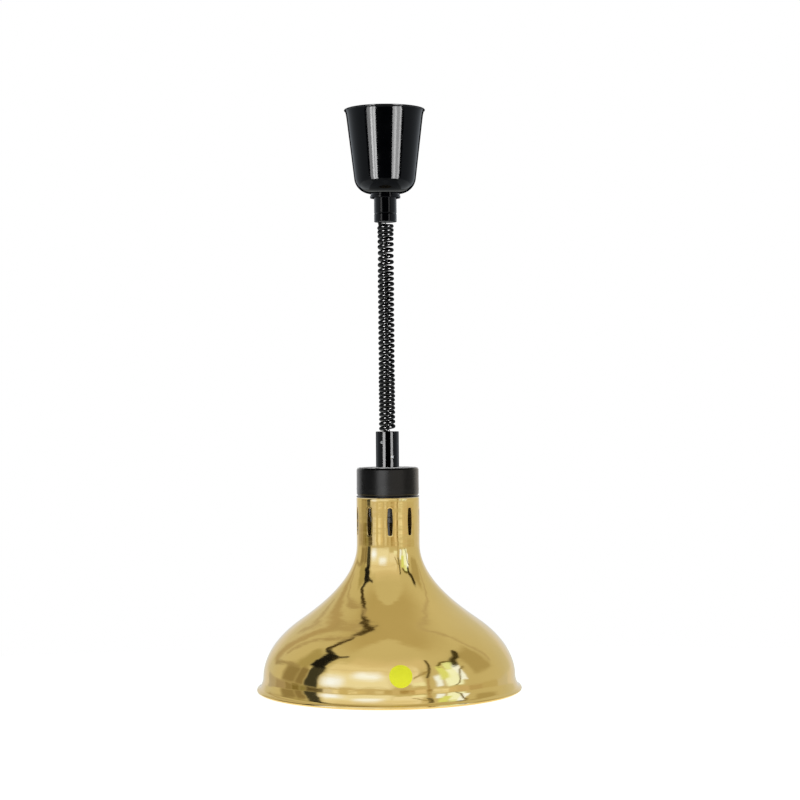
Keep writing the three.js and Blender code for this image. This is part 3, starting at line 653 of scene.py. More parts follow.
def frosted_glass():
    """The bulb's face: clear glass frosted on the inside."""
    s = Shader("frosted_glass", Transmission_Weight=0.35, IOR=1.48, Coat_Weight=1.0, Coat_Roughness=0.04)
    s.colours(s.spread(s.noise(80), 0, 1), (0.88, 0.87, 0.84), (0.80, 0.79, 0.76))
    s.roughness(s.spread(s.noise(700), 0.35, 0.5))
    s.bump(s.noise(2500, 2), 0.00002)
    return s.material


FINISHES["bulb_glass"] = frosted_glass()
# The inside of the shade's neck gets a darker, duller gold: painted shade, since little light reaches in there.
NECK_INSIDE_SHADE = metal("heat_stained_gold", (0.34, 0.24, 0.11), 0.4, 0.55)
SILVERING = metal("bulb_silvering", (0.83, 0.83, 0.82), 0.06, 0.14, (1, 1, 1), 60, 0.00001)


def stand_for(piece, node, body, slot):
    """piece rides on body and is shown in place of the CAD node."""
    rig.ride(piece, body)
    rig.replaces(piece, node)
    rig.slot(piece, slot)


def turned_piece(name, node, body, slot, profile, sharp):
    build = Build()
    build.turned(profile)
    stand_for(build.make(name, [FINISHES[slot]], sharp), node, body, slot)


# ---------------------------------------------------------------- curly cord


def smooth(t):
    t = max(0.0, min(1.0, t))
    return t * t * (3 - 2 * t)


def coil_drops():
    """How far down the coil each of its points is, as a share of its length."""
    steps = round(COIL_TURNS * COIL_STEPS)
    ends = []
    total = 0
    for turns, pitch in COIL_ZONES:
        ends.append((total, total + turns, pitch))
        total += turns

    def pitch_at(turn):
        """The zones' pitch, eased over half a turn on either side of where two meet."""
        pitch = ends[0][2]
        for (_, boundary, here), (_, _, following) in zip(ends, ends[1:]):
            pitch += (following - here) * smooth(turn - boundary + 0.5)
        return pitch

    drops = [0.0]
    for i in range(steps):
        drops.append(drops[-1] + pitch_at((i + 0.5) / COIL_STEPS))
    return [d / drops[-1] for d in drops]


def coil_point(turn, drop):
    """A point of the coil after so many turns, at a share of its length down. Its radius wanders a little."""
    angle = math.pi - 2 * math.pi * turn
    wander = 0.1 * math.sin(1.7 * turn) + 0.08 * math.sin(0.61 * turn + 1)
    r = TURN_R + wander * smooth(turn) * smooth(COIL_TURNS - turn)
    return (
        r * math.cos(angle),
        r * math.sin(angle),
        COIL_TOP_Z + drop * (COIL_END_Z - COIL_TOP_Z),
    )


def cord_route():
    """The cord's top end, its coil and its bottom end. A point of the coil is (place, turns, drop)."""
    drops = coil_drops()
    coil = [(coil_point(i / COIL_STEPS, d), i / COIL_STEPS, d) for i, d in enumerate(drops)]
    # The ends run straight into the grommet and the sleeve, and curve over into the first and last turns.
    top = [
        (CORD_MOUTH_X, 0, CORD_START_Z),
        (CORD_MOUTH_X, 0, -119.3),
        (CORD_MOUTH_X, 0, -121.3),
        (CORD_MOUTH_X - 0.1, 0.1, -122.9),
        (CORD_MOUTH_X - 0.5, 0.5, -124.4),
    ]
    bottom = [
        (1.1, TURN_R - 0.1, -352.8),
        (0.5, TURN_R - 0.05, -354.1),
        (0.15, TURN_R, -355.5),
        (0, TURN_R, -357.3),
        (0, TURN_R, -359.4),
    ]
    skip = 2
    return top, coil[skip:-skip], bottom


def curly_cord_mesh():
    """The cord's centreline as edges. Two loose points before it, on the axis, mark the coil's ends."""
    top, coil, bottom = cord_route()
    points = [(0, 0, COIL_TOP_Z), (0, 0, COIL_END_Z)]
    points += top + [p for p, _, _ in coil] + bottom

    def along(on_ends, above, on_coil, below):
        """A value for each point: the two loose ones, those above the coil, on it and below it."""
        return [*on_ends, *[above] * len(top), *on_coil, *[below] * len(bottom)]

    held = [1 - smooth(t / 1.5) * smooth((COIL_TURNS - t) / 1.5) for _, t, _ in coil]
    layers = {
        "rest": along((0.0, 1.0), 0.0, [d for _, _, d in coil], 1.0),
        "even": along((0.0, 1.0), 0.0, [t / COIL_TURNS for _, t, _ in coil], 1.0),
        "on_coil": along((0.0, 0.0), 0.0, [1.0] * len(coil), 0.0),
        "hold": along((1.0, 1.0), 1.0, held, 1.0),
    }
    mesh = bpy.data.meshes.new("curly_cord_coil")
    edges = [(i, i + 1) for i in range(2, len(points) - 1)]
    mesh.from_pydata([[c * MM for c in p] for p in points], edges, [])
    for name, values in layers.items():
        mesh.attributes.new(name, "FLOAT", "POINT").data.foreach_set("value", values)
    return mesh, [[c * MM for c in p] for p in points[2:]]


class Nodes:
    """A geometry node tree that is built by calling functions."""

    def __init__(self, name):
        self.tree = bpy.data.node_groups.new(name, "GeometryNodeTree")
        self.tree.interface.new_socket("Geometry", in_out="INPUT", socket_type="NodeSocketGeometry")
        self.tree.interface.new_socket("Geometry", in_out="OUTPUT", socket_type="NodeSocketGeometry")
        self.start = self.tree.nodes.new("NodeGroupInput").outputs[0]
        self.end = self.tree.nodes.new("NodeGroupOutput").inputs[0]

    def put(self, kind, values=None, **settings):
        """A node with its settings, and its inputs by name or number."""
        node = self.tree.nodes.new(kind)
        for name, value in settings.items():
            setattr(node, name, value)
        for key, value in (values or {}).items():
            if isinstance(value, bpy.types.NodeSocket):
                self.tree.links.new(value, node.inputs[key])
            else:
                node.inputs[key].default_value = value
        return node

    def number(self, operation, a, b=0.0, clamp=False):
        return self.put("ShaderNodeMath", {0: a, 1: b}, operation=operation, use_clamp=clamp).outputs[0]

    def vector(self, operation, a, b=(0.0, 0.0, 0.0)):
        node = self.put("ShaderNodeVectorMath", {0: a, 1: b}, operation=operation)
        return node.outputs["Value" if operation in ("LENGTH", "DOT_PRODUCT") else "Vector"]

    def scaled(self, vector, factor):
        node = self.put("ShaderNodeVectorMath", {0: vector, "Scale": factor}, operation="SCALE")
        return node.outputs["Vector"]

    def attribute(self, name):
        return self.put("GeometryNodeInputNamedAttribute", {"Name": name}, data_type="FLOAT").outputs[0]

    def mixed(self, factor, a, b):
        """a where factor is 0, b where it is 1."""
        return self.number("ADD", a, self.number("MULTIPLY", factor, self.number("SUBTRACT", b, a)))

    def body_turn(self, body):
        """The rotation of a CAD body."""
        info = self.put("GeometryNodeObjectInfo", {0: frame["bodies"][body]}, transform_space="ORIGINAL")
        return info.outputs["Rotation"]


def coil_nodes(material):
    """Lays the coil's turns between its two ends, wherever the joints have put them.

    A point keeps its place round the axis. Its share of the way down goes from rest to even as the coil is
    pulled or pressed, and its radius follows from the cord's length, which doesn't change. The far end twists
    with the lamp head, and the twist is shared out over the turns.
    """
    n = Nodes("curly_cord_lay")
    length = (COIL_TOP_Z - COIL_END_Z) * MM
    circle = 2 * math.pi * TURN_R * MM
    per_turn = math.hypot(circle, length / COIL_TURNS)
    position = n.put("GeometryNodeInputPosition").outputs[0]

    def end_point(index):
        node = n.put(
            "GeometryNodeSampleIndex",
            {"Geometry": n.start, "Value": position, "Index": index},
            data_type="FLOAT_VECTOR",
            domain="POINT",
        )
        return node.outputs[0]

    top, bottom = end_point(0), end_point(1)
    span = n.vector("SUBTRACT", bottom, top)
    down = n.vector("NORMALIZE", span)
    now = n.vector("LENGTH", span)
    offset = n.vector("SUBTRACT", position, top)
    along = n.vector("DOT_PRODUCT", offset, down)
    radial = n.vector("SUBTRACT", offset, n.scaled(down, along))

    change = n.number("ABSOLUTE", n.number("SUBTRACT", now, length))
    pulled = n.number("DIVIDE", change, SHORTENING * MM, clamp=True)
    share = n.mixed(pulled, n.attribute("rest"), n.attribute("even"))
    drop = n.mixed(n.attribute("on_coil"), along, n.number("MULTIPLY", share, now))

    pitch = n.number("DIVIDE", now, COIL_TURNS)
    left = n.number("SUBTRACT", per_turn**2, n.number("MULTIPLY", pitch, pitch))
    shrink = n.number("DIVIDE", n.number("SQRT", n.number("MAXIMUM", left, 0.0)), circle)
    size = n.mixed(n.attribute("hold"), shrink, 1.0)

    side = n.put("FunctionNodeRotateVector", {0: (1.0, 0.0, 0.0), 1: n.body_turn("head")}).outputs[0]
    cable = n.body_turn("cable_end")
    back = n.put("FunctionNodeInvertRotation", {0: cable}).outputs[0]
    side = n.put("FunctionNodeRotateVector", {0: side, 1: back}).outputs[0]
    parts = n.put("ShaderNodeSeparateXYZ", {0: side}).outputs
    twist = n.number("ARCTAN2", parts["Y"], parts["X"])
    angle = n.number("MULTIPLY", n.number("MULTIPLY", twist, share), -1.0)
    turned = n.put(
        "ShaderNodeVectorRotate",
        {"Vector": n.scaled(radial, size), "Axis": down, "Angle": angle},
        rotation_type="AXIS_ANGLE",
    ).outputs[0]

    place = n.vector("ADD", n.vector("ADD", top, n.scaled(down, drop)), turned)
    moved = n.put("GeometryNodeSetPosition", {"Geometry": n.start, "Position": place}).outputs[0]
    line = n.put("GeometryNodeMeshToCurve", {0: moved}).outputs[0]
    profile = n.put("GeometryNodeCurvePrimitiveCircle", {"Resolution": 16, "Radius": CORD_R * MM})
    tube = n.put(
        "GeometryNodeCurveToMesh",
        {"Curve": line, "Profile Curve": profile.outputs[0], "Fill Caps": True},
    ).outputs[0]
    smoothed = n.put("GeometryNodeSetShadeSmooth", {"Geometry": tube, "Shade Smooth": True}).outputs[0]
    finished = n.put("GeometryNodeSetMaterial", {"Geometry": smoothed, "Material": material}).outputs[0]
    n.tree.links.new(finished, n.end)
    return n.tree


def curly_cord():
    mesh, path = curly_cord_mesh()
    mesh.materials.append(FINISHES["cord_jacket"])
    coil = placed("curly_cord_coil", mesh)
    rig.blend(coil, "cord", "cable_end", start=(0, 0, COIL_TOP_Z * MM), end=(0, 0, COIL_END_Z * MM))
    coil.modifiers.new("lay", "NODES").node_group = coil_nodes(FINISHES["cord_jacket"])
    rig.replaces(coil, "curly_cord")
    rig.slot(coil, "cord_jacket")
    length = sum(math.dist(a, b) for a, b in zip(path, path[1:]))
    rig.cord(
        coil,
        exit=path[0],
        length=round(length, 2),
        diameter=2 * CORD_R * MM,
        far_end="object",
        stiffness="medium",
        lay="coiled",
        path=path,
    )


curly_cord()


def steel_cable():
    """Six strands laid round a core, as a lobed section that twists on its way down."""
    strands, per_strand, lay, step = 6, 4, 11.0, 0.9
    rings = round((CABLE_START_Z - CABLE_END_Z) / step)
    build = Build()
    last = None
    for i in range(rings + 1):
        z = CABLE_START_Z + (CABLE_END_Z - CABLE_START_Z) * i / rings
        ring = []
        for k in range(strands * per_strand):
            a = 2 * math.pi * k / (strands * per_strand)
            r = CABLE_R * (0.86 + 0.14 * abs(math.cos(strands * a / 2)))
            turn = a + 2 * math.pi * z / lay
            ring.append((r * math.cos(turn), r * math.sin(turn), z))
        ring = build.add(ring)
        if last:
            build.bridge(last, ring)
        else:
            build.fan(ring, (0, 0, z))
        last = ring
    build.fan(last, (0, 0, CABLE_END_Z))
    rope = build.make("steel_cable_rope", [FINISHES["zinc_steel"]], 180)
    start, end = (0, 0, CABLE_START_Z * MM), (0, 0, CABLE_END_Z * MM)
    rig.blend(rope, "cord", "cable_end", start=start, end=end)
    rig.replaces(rope, "steel_cable")
    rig.slot(rope, "zinc_steel")


steel_cable()

# ---------------------------------------------------------------- ceiling cup and collar


def cup_outline():
    tilt = math.atan(CUP_SLOPE)
    corner_z = CUP_BOTTOM_Z + CUP_CORNER_R
    cone_r = CUP_CORNER_X + CUP_CORNER_R * math.cos(tilt)
    cone_z = corner_z - CUP_CORNER_R * math.sin(tilt)

    def cone(z):
        return cone_r + CUP_SLOPE * (z - cone_z), z

    return [
        *bezier((CUP_RIM_R - 0.5, -1.2), (CUP_RIM_R - 1.9, -3.4), cone(-8), cone(-14), 12),
        *[cone(z) for z in (-26, -40, -54, -66)],
        *arc(CUP_CORNER_X, corner_z, CUP_CORNER_R, -math.degrees(tilt), -90, 18),
        (CUP_HOLE_R + 3, CUP_BOTTOM_Z),
        (CUP_HOLE_R, CUP_BOTTOM_Z),
    ]


def ceiling_cup():
    outside = cup_outline()
    inside = beside(outside, -CUP_WALL)[::-1]
    lip = arc(CUP_RIM_R - 0.9, -1.2, 0.9, 170, -20, 12)
    profile = [*inside, *lip, *outside[1:]]
    turned_piece("ceiling_cup_shell", "ceiling_cup", "root", "gloss_black", profile, 40)


def rounded(corner, before, after, radius, steps=4):
    """A corner of an outline, eased by a short curve between the points before and after it."""

    def towards(p):
        d = math.dist(corner, p)
        return tuple(c + (q - c) * radius / d for c, q in zip(corner, p))

    start, end = towards(before), towards(after)
    return bezier(start, corner, corner, end, steps)


def eased(outline, radii):
    """An outline with its corners rounded; radii holds a radius for each point, 0 to leave it sharp."""
    points = []
    n = len(outline)
    for i, (corner, radius) in enumerate(zip(outline, radii)):
        if radius:
            points += rounded(corner, outline[i - 1], outline[(i + 1) % n], radius)
        else:
            points.append(corner)
    return points


def cup_collar():
    top, end = COLLAR_TOP_Z, COLLAR_END_Z
    small, wide, tube = COLLAR_FLANGE_R - 0.6, COLLAR_FLANGE_R, COLLAR_R
    groove_z = end + 9
    outline = [
        (CUP_HOLE_R + 0.1, top),
        (small, top),
        (small, top - 2.2),
        (wide, top - 2.5),
        (wide, top - 4.8),
        (tube, top - 4.8),
        (tube, groove_z + 0.9),
        (tube - 0.55, groove_z),
        (tube, groove_z - 0.9),
        (tube, end),
        (COLLAR_BORE_R, end),
    ]
    radii = [0, 0.5, 0.2, 0.3, 0.35, 0.4, 0.35, 0.4, 0.35, 0.9, 0.3]
    turned_piece("cup_collar_shell", "cup_collar", "root", "gloss_black", eased(outline, radii), 60)


def exit_grommet():
    """The rubber bush in the collar, with a slot for the cord that leaves room for its swing."""
    curve = bpy.data.curves.new("exit_bush_outline", "CURVE")
    curve.dimensions, curve.fill_mode = "2D", "BOTH"
    curve.extrude = ((BUSH_TOP_Z - BUSH_END_Z) / 2 - BUSH_EDGE) * MM
    curve.bevel_depth, curve.bevel_resolution = BUSH_EDGE * MM, 3
    slot_r = CORD_R + 0.35 + BUSH_EDGE
    low, high = BUSH_SLOT
    slot = arc(CORD_MOUTH_X, high, slot_r, 0, 180, 12) + arc(CORD_MOUTH_X, low, slot_r, 180, 360, 12)
    rim = arc(0, 0, BUSH_R - BUSH_EDGE, 0, 360, 60)[:-1]
    cable_hole = arc(0, 0, CABLE_R + 0.9 + BUSH_EDGE, 0, 360, 24)[:-1]
    for outline in (rim, slot, cable_hole):
        spline = curve.splines.new("POLY")
        spline.points.add(len(outline) - 1)
        spline.points.foreach_set("co", [c for x, y in outline for c in (x * MM, y * MM, 0, 1)])
        spline.use_cyclic_u = True
    mesh = bpy.data.meshes.new_from_object(bpy.data.objects.new("exit_bush_outline", curve))
    mesh.transform(Matrix.Translation((0, 0, (BUSH_TOP_Z + BUSH_END_Z) / 2 * MM)))
    mesh.materials.clear()
    mesh.materials.append(FINISHES["rubber"])
    stand_for(placed("exit_bush", mesh), "exit_grommet", "bush", "rubber")


ceiling_cup()
cup_collar()
exit_grommet()

# ---------------------------------------------------------------- sleeve


def lower_sleeve():
    """A tube with a roof. Its two grub screws sit in holes in the wall."""
    build = Build()
    first_hole = math.radians(SLEEVE_GRUBS[0][0])
    bore = SLEEVE_R - SLEEVE_WALL
    cable_hole = CABLE_R + 0.5
    roof_end = SLEEVE_TOP_Z - 2.4
    row_step = 2.0
    heights = [SLEEVE_TOP_Z - 3.2 - row_step * i for i in range(18)]
    outer = [build.ring(SLEEVE_R, z, first_hole) for z in heights]
    inner = [build.ring(bore, z, first_hole) for z in heights]
    windows, half = [], 5
    for angle, z in SLEEVE_GRUBS:
        middle = round((angle - SLEEVE_GRUBS[0][0]) / (360 / SIDES))
        row = min(range(len(heights)), key=lambda i: abs(heights[i] + row_step / 2 - z))
        windows.append(((row - 2, row + 1), (middle - half, middle + half)))
    flats = [about_axis(math.radians(angle), z, SLEEVE_R) for angle, z in SLEEVE_GRUBS]
    pierced(build, (outer, inner), windows, flats, SLEEVE_WALL, 0, GRUB_HOLE_R)
    edge_r = 0.5
    edge_arc = arc(SLEEVE_R - edge_r, SLEEVE_TOP_Z - edge_r, edge_r, 90, 0, 5)
    top = [(cable_hole, roof_end), (cable_hole, SLEEVE_TOP_Z), *edge_arc]
    above = build.turned(top, first_hole, closed=False)
    build.bridge(above[-1], outer[0])
    under_roof = build.ring(bore, roof_end, first_hole)
    build.bridge(above[0], under_roof)
    build.bridge(under_roof, inner[0])
    foot = [(SLEEVE_R, SLEEVE_END_Z + 0.3), (SLEEVE_R - 0.3, SLEEVE_END_Z), (bore, SLEEVE_END_Z)]
    below = build.turned(foot, first_hole, closed=False)
    build.bridge(outer[-1], below[0])
    build.bridge(below[-1], inner[-1])
    piece = build.make("lower_sleeve_tube", [FINISHES["gloss_black"]], 35)
    stand_for(piece, "lower_sleeve", "head", "gloss_black")


lower_sleeve()

# ---------------------------------------------------------------- lamp cap


def lamp_cap():
    """Satin cap with radial vents in its roof, a fine ridge and a shadow groove above its lip."""
    build = Build()
    vents, half_columns = 12, 5
    middle_r, spine, vent_r = 21.5, 4.0, 2.0
    ring_radii = [13.5, 15.5, 17.5, 19.5, 21.5, 23.5, 25.5, 27.5, 29.3]
    roof = [build.ring(r, CAP_TOP_Z) for r in ring_radii]
    ceiling = [build.ring(r, CAP_TOP_Z - CAP_ROOF) for r in ring_radii]
    rows = (0, len(ring_radii) - 1)
    pillar_steps = {2, 6, 10}
    steps = [i for i in range(vents) if i not in pillar_steps]
    apart = SIDES // vents
    windows = [(rows, (i * apart - half_columns, i * apart + half_columns)) for i in steps]
    flats = [on_roof(2 * math.pi * i / vents, middle_r, CAP_TOP_Z) for i in steps]
    pierced(build, (roof, ceiling), windows, flats, CAP_ROOF, spine, vent_r)
    skirt_in = CAP_R - CAP_WALL
    ridge_z, lip_z = CAP_END_Z + 8.9, CAP_END_Z + 1.3
    outside = [
        *arc(CAP_R - 2.6, CAP_TOP_Z - 2.6, 2.6, 90, 0, 10),
        (CAP_R, ridge_z + 1.8),
        (CAP_R + 0.15, ridge_z + 0.6),
        (CAP_R + 0.15, ridge_z - 0.6),
        (CAP_R, ridge_z - 1.8),
        (CAP_R, lip_z + 2.1),
        (CAP_R - 0.8, lip_z + 1.7),
        (CAP_R - 0.8, lip_z + 0.6),
        (CAP_R + 0.2, lip_z + 0.2),
        (CAP_R + 0.4, lip_z - 0.1),
        (CAP_R + 0.4, CAP_END_Z + 0.2),
        (CAP_R + 0.2, CAP_END_Z),
        (skirt_in, CAP_END_Z),
        *arc(skirt_in - 2, CAP_TOP_Z - CAP_ROOF - 2, 2, 0, 90, 6),
    ]
    rings = build.turned(outside, closed=False)
    build.bridge(roof[-1], rings[0])
    build.bridge(rings[-1], ceiling[-1])
    hole = [(NIPPLE_HOLE_R, CAP_TOP_Z), (NIPPLE_HOLE_R, CAP_TOP_Z - CAP_ROOF)]
    middle = build.turned(hole, closed=False)
    build.bridge(middle[0], roof[0])
    build.bridge(middle[1], ceiling[0])
    piece = build.make("lamp_cap_shell", [FINISHES["satin_black"]], 40)
    stand_for(piece, "lamp_cap", "head", "satin_black")


def cap_pillars():
    """The three threaded posts under the cap's roof that take the shade's screws."""
    build = Build()
    for i in range(3):
        a = FRONT + (i + 0.5) * 2 * math.pi / 3
        x, y = PILLAR_RING_R * math.cos(a), PILLAR_RING_R * math.sin(a)
        first = len(build.points)
        top = CAP_TOP_Z - CAP_ROOF - 0.02
        profile = [(2.1, top), (4, top), (4, CAP_END_Z + 0.3), (3.7, CAP_END_Z), (2.1, CAP_END_Z)]
        build.turned(profile, sides=32)
        build.points[first:] = [(px + x, py + y, pz) for px, py, pz in build.points[first:]]
    piece = build.make("lamp_cap_pillars", [FINISHES["satin_black"]])
    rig.ride(piece, "head")
    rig.slot(piece, "satin_black")


lamp_cap()
cap_pillars()

# ---------------------------------------------------------------- shade


def bell_outline(steps=26):
    """The shade below its neck: a hollow curve, a round one, then the flare above the bead."""
    sx, sz = SHOULDER
    dx, dz = math.sin(SHOULDER_SLOPE), -math.cos(SHOULDER_SLOPE)
    neck_pull, hollow_pull, crown_pull, body_pull = 40, 20.5, 22.6, 26
    neck, body = (NECK_R, NECK_END_Z), (BODY_R, BODY_END_Z)
    above_shoulder = (sx - hollow_pull * dx, sz - hollow_pull * dz)
    below_shoulder = (sx + crown_pull * dx, sz + crown_pull * dz)
    hollow = bezier(neck, (NECK_R, NECK_END_Z - neck_pull), above_shoulder, SHOULDER, steps)
    crown = bezier(SHOULDER, below_shoulder, (BODY_R, BODY_END_Z + body_pull), body, steps)
    flare = bezier(
        body,
        (BODY_R + 0.5, BODY_END_Z - 5),
        (RIM_R - 5, RIM_Z + 6),
        (RIM_R - BEAD_R * 1.5, RIM_Z + BEAD_R * 0.8),
        10,
    )
    return [*hollow, *crown[1:], *flare[1:]]


def shade():
    build = Build()
    corner, rows_on_band = 1.6, 16
    top, columns = SHADE_TOP_Z, SIDES // SLOTS
    band_top, band_end = top - corner - 2, NECK_END_Z + 4
    band = [band_top + (band_end - band_top) * i / rows_on_band for i in range(rows_on_band + 1)]
    outer = [build.ring(NECK_R, z, FIRST_SLOT) for z in band]
    inner = [build.ring(NECK_R - SHADE_WALL, z, FIRST_SLOT) for z in band]
    rows = (0, len(band) - 1)
    windows = [(rows, (i * columns - columns // 2, (i + 1) * columns - columns // 2)) for i in range(SLOTS)]
    middle_z = (SLOT_TOP_Z + SLOT_END_Z) / 2
    spine = (SLOT_TOP_Z - SLOT_END_Z) / 2 - SLOT_R
    flats = [about_axis(FIRST_SLOT + 2 * math.pi * i / SLOTS, middle_z, NECK_R) for i in range(SLOTS)]
    pierced(build, (outer, inner), windows, flats, SHADE_WALL, spine, SLOT_R)

    crown = arc(NECK_R - corner, top - corner, corner, 90, 0, 8)
    crown_in = arc(NECK_R - corner, top - corner, corner - SHADE_WALL, 90, 0, 8)
    roof_r = 26
    above = build.turned([(SHADE_HOLE_R, top), (roof_r, top), *crown], FIRST_SLOT, closed=False)
    build.bridge(above[-1], outer[0])
    under = [(SHADE_HOLE_R, top - SHADE_WALL), (roof_r, top - SHADE_WALL), *crown_in]
    within = build.turned(under, FIRST_SLOT, closed=False)
    build.bridge(within[-1], inner[0])
    build.bridge(above[0], within[0])

    outline = bell_outline()
    lining = beside(outline, -SHADE_WALL)
    bead = arc(RIM_R - BEAD_R, RIM_Z, BEAD_R, 60, -190, 20)
    down = build.turned([*outline[:-1], *bead], FIRST_SLOT, closed=False)
    up = build.turned(lining[:-1], FIRST_SLOT, closed=False)
    build.bridge(outer[-1], down[0])
    build.bridge(inner[-1], up[0])
    build.bridge(down[-1], up[-1])
    piece = build.make("shade_spun", [FINISHES["gold_shade"], NECK_INSIDE_SHADE], 50)
    # Inward faces above the neck's end take the darker gold: painted shade inside the neck.
    for face in piece.data.polygons:
        inwards = face.normal.x * face.center.x + face.normal.y * face.center.y < 0
        face.material_index = 1 if inwards and face.center.z > NECK_END_Z * MM else 0
    stand_for(piece, "shade", "head", "gold_shade")


def round_sticker():
    """A thin plain disc laid on the bell."""
    face_lift, back_lift, rings, sides = 0.42, 0.12, 10, 72
    angles = [2 * math.pi * i / sides for i in range(sides)]
    outline = [p for p in bell_outline() if abs(p[1] - STICKER_Z) < STICKER_R + 8]
    lengths = [0.0]
    for a, b in zip(outline, outline[1:]):
        lengths.append(lengths[-1] + math.dist(a, b))
    middle = next(i for i, p in enumerate(outline) if p[1] < STICKER_Z)
    share = (outline[middle - 1][1] - STICKER_Z) / (outline[middle - 1][1] - outline[middle][1])
    centre = lengths[middle - 1] + share * (lengths[middle] - lengths[middle - 1])

    def on_bell(u, v, lift):
        """The point v down the bell and u round it from the sticker's middle, lifted off the surface."""
        far = centre + v
        i = max(1, min(len(lengths) - 1, next((k for k, d in enumerate(lengths) if d > far), 1)))
        t = (far - lengths[i - 1]) / (lengths[i] - lengths[i - 1])
        (ax, az), (bx, bz) = outline[i - 1], outline[i]
        size = math.hypot(bx - ax, bz - az)
        r = ax + (bx - ax) * t - lift * (bz - az) / size
        z = az + (bz - az) * t + lift * (bx - ax) / size
        a = FRONT + STICKER_ANGLE + u / r
        return r * math.cos(a), r * math.sin(a), z

    build = Build()

    def circle(r, lift):
        return build.add([on_bell(r * math.sin(a), r * math.cos(a), lift) for a in angles])

    face = [circle(STICKER_R * k / rings, face_lift) for k in range(rings, 0, -1)]
    for a, b in zip(face, face[1:]):
        build.bridge(a, b)
    build.fan(face[-1], on_bell(0, 0, face_lift))
    back = circle(STICKER_R, back_lift)
    build.bridge(face[0], back)
    build.fan(back, on_bell(0, 0, back_lift))
    piece = build.make("round_sticker", [FINISHES["sticker_film"]], 40)
    stand_for(piece, "blank_sticker", "head", "sticker_film")


shade()
round_sticker()

# ---------------------------------------------------------------- lampholder and bulb


def lampholder():
    wire_r, wire_z = 12, -405
    floor_top = SOCKET_Z + 3
    profile = [
        (0, floor_top),
        (wire_r, floor_top),
        (wire_r, wire_z),
        (NIPPLE_HOLE_R, wire_z),
        (NIPPLE_HOLE_R, HOLDER_TOP_Z),
        (9.6, HOLDER_TOP_Z),
        (10, HOLDER_TOP_Z - 0.4),
        (10, -402),
        *arc(HOLDER_R - 6, -409, 6, 60, 0, 10),
        (HOLDER_R, -422),
        (HOLDER_R - 0.5, -422.5),
        (HOLDER_R - 0.5, -424.5),
        (HOLDER_R, -425),
        (HOLDER_R, -446),
        (HOLDER_R - 1.2, -447),
        *arc(HOLDER_R - 2.2, HOLDER_END_Z + 1, 1, 0, -90, 5),
        (HOLDER_BORE_R + 0.4, HOLDER_END_Z),
        (HOLDER_BORE_R, HOLDER_END_Z + 0.4),
        (HOLDER_BORE_R, SOCKET_Z),
        (0, SOCKET_Z),
    ]
    turned_piece("lampholder_body", "lampholder", "head", "porcelain", profile, 40)


def bulb_cap():
    """The screw cap, with a rolled thread and an insulated tip."""
    pitch, turns = 4.0, 5
    rows_per_turn = 8
    thread = []
    for i in range(turns * rows_per_turn + 1):
        z = BULB_TOP_Z - 3 - i * pitch / rows_per_turn
        r = BULB_CAP_R - 0.4 + 0.4 * math.cos(2 * math.pi * i / rows_per_turn - math.pi)
        thread.append((r, z))
    profile = [
        (0, BULB_TOP_Z),
        (4.2, BULB_TOP_Z),
        (4.8, BULB_TOP_Z - 0.8),
        (10.6, BULB_TOP_Z - 2.2),
        *thread,
        (BULB_CAP_R - 0.8, BULB_CAP_END_Z),
        (0, BULB_CAP_END_Z),
    ]
    turned_piece("bulb_screw_cap_thread", "bulb_screw_cap", "bulb", "brass", profile, 60)


def bulb_envelope():
    """The reflector bulb's glass: silvered inside down to the widest part, frosted below it."""
    neck_z = BULB_CAP_END_Z - 0.3
    cone = bezier((14.4, HOLDER_END_Z - 2), (19, -486), (56, -520), (BULB_R - 0.5, -560), 24)
    face = bezier((BULB_R, -566), (BULB_R, -580), (44, BULB_FACE_Z), (0, BULB_FACE_Z), 22)
    outside = [(BULB_CAP_R - 0.8, neck_z), (14.4, neck_z - 4), *cone, *face]
    inside = beside(outside[:-1], -GLASS_T)[::-1]
    build = Build()
    skin = build.turned(outside, closed=False)
    lining = build.turned([(0, BULB_FACE_Z + GLASS_T), *inside], closed=False)
    build.bridge(skin[0], lining[-1])
    piece = build.make("bulb_envelope_glass", [FINISHES["bulb_glass"], SILVERING], 60)
    for polygon in piece.data.polygons:
        polygon.material_index = 1 if polygon.center.z > SILVER_END_Z * MM else 0
    stand_for(piece, "bulb_envelope", "bulb", "bulb_glass")


lampholder()
bulb_cap()
bulb_envelope()

# ---------------------------------------------------------------- the CAD nodes that stay in view


def paint_cad_nodes():
    """Each CAD node takes the finish of its slot."""
    slots = {part["node"]: part["material_slot"] for part in frame["record"]["subparts"]}
    for name, node in NODES.items():
        material = FINISHES[slots[name]]
        if not node.data.materials:
            node.data.materials.append(material)
        for slot in node.material_slots:
            slot.material = material


paint_cad_nodes()

# ---------------------------------------------------------------- studio

DARK_SLOTS = ("gloss_black", "satin_black", "cord_jacket", "rubber")

FLOOR_Z = -2.4  # a room's height below the ceiling
FLOOR_R = 14
STUDIO = Vector((0, 0, -0.5))  # the middle of the lamp, which the studio stands round
STUDIO_R = 3.0
STUDIO_LOW = -16  # degrees below the horizon at which the studio's wall ends

TENT = (0.96, 1.03, 0.92)
TENT_STRENGTH = 0.66
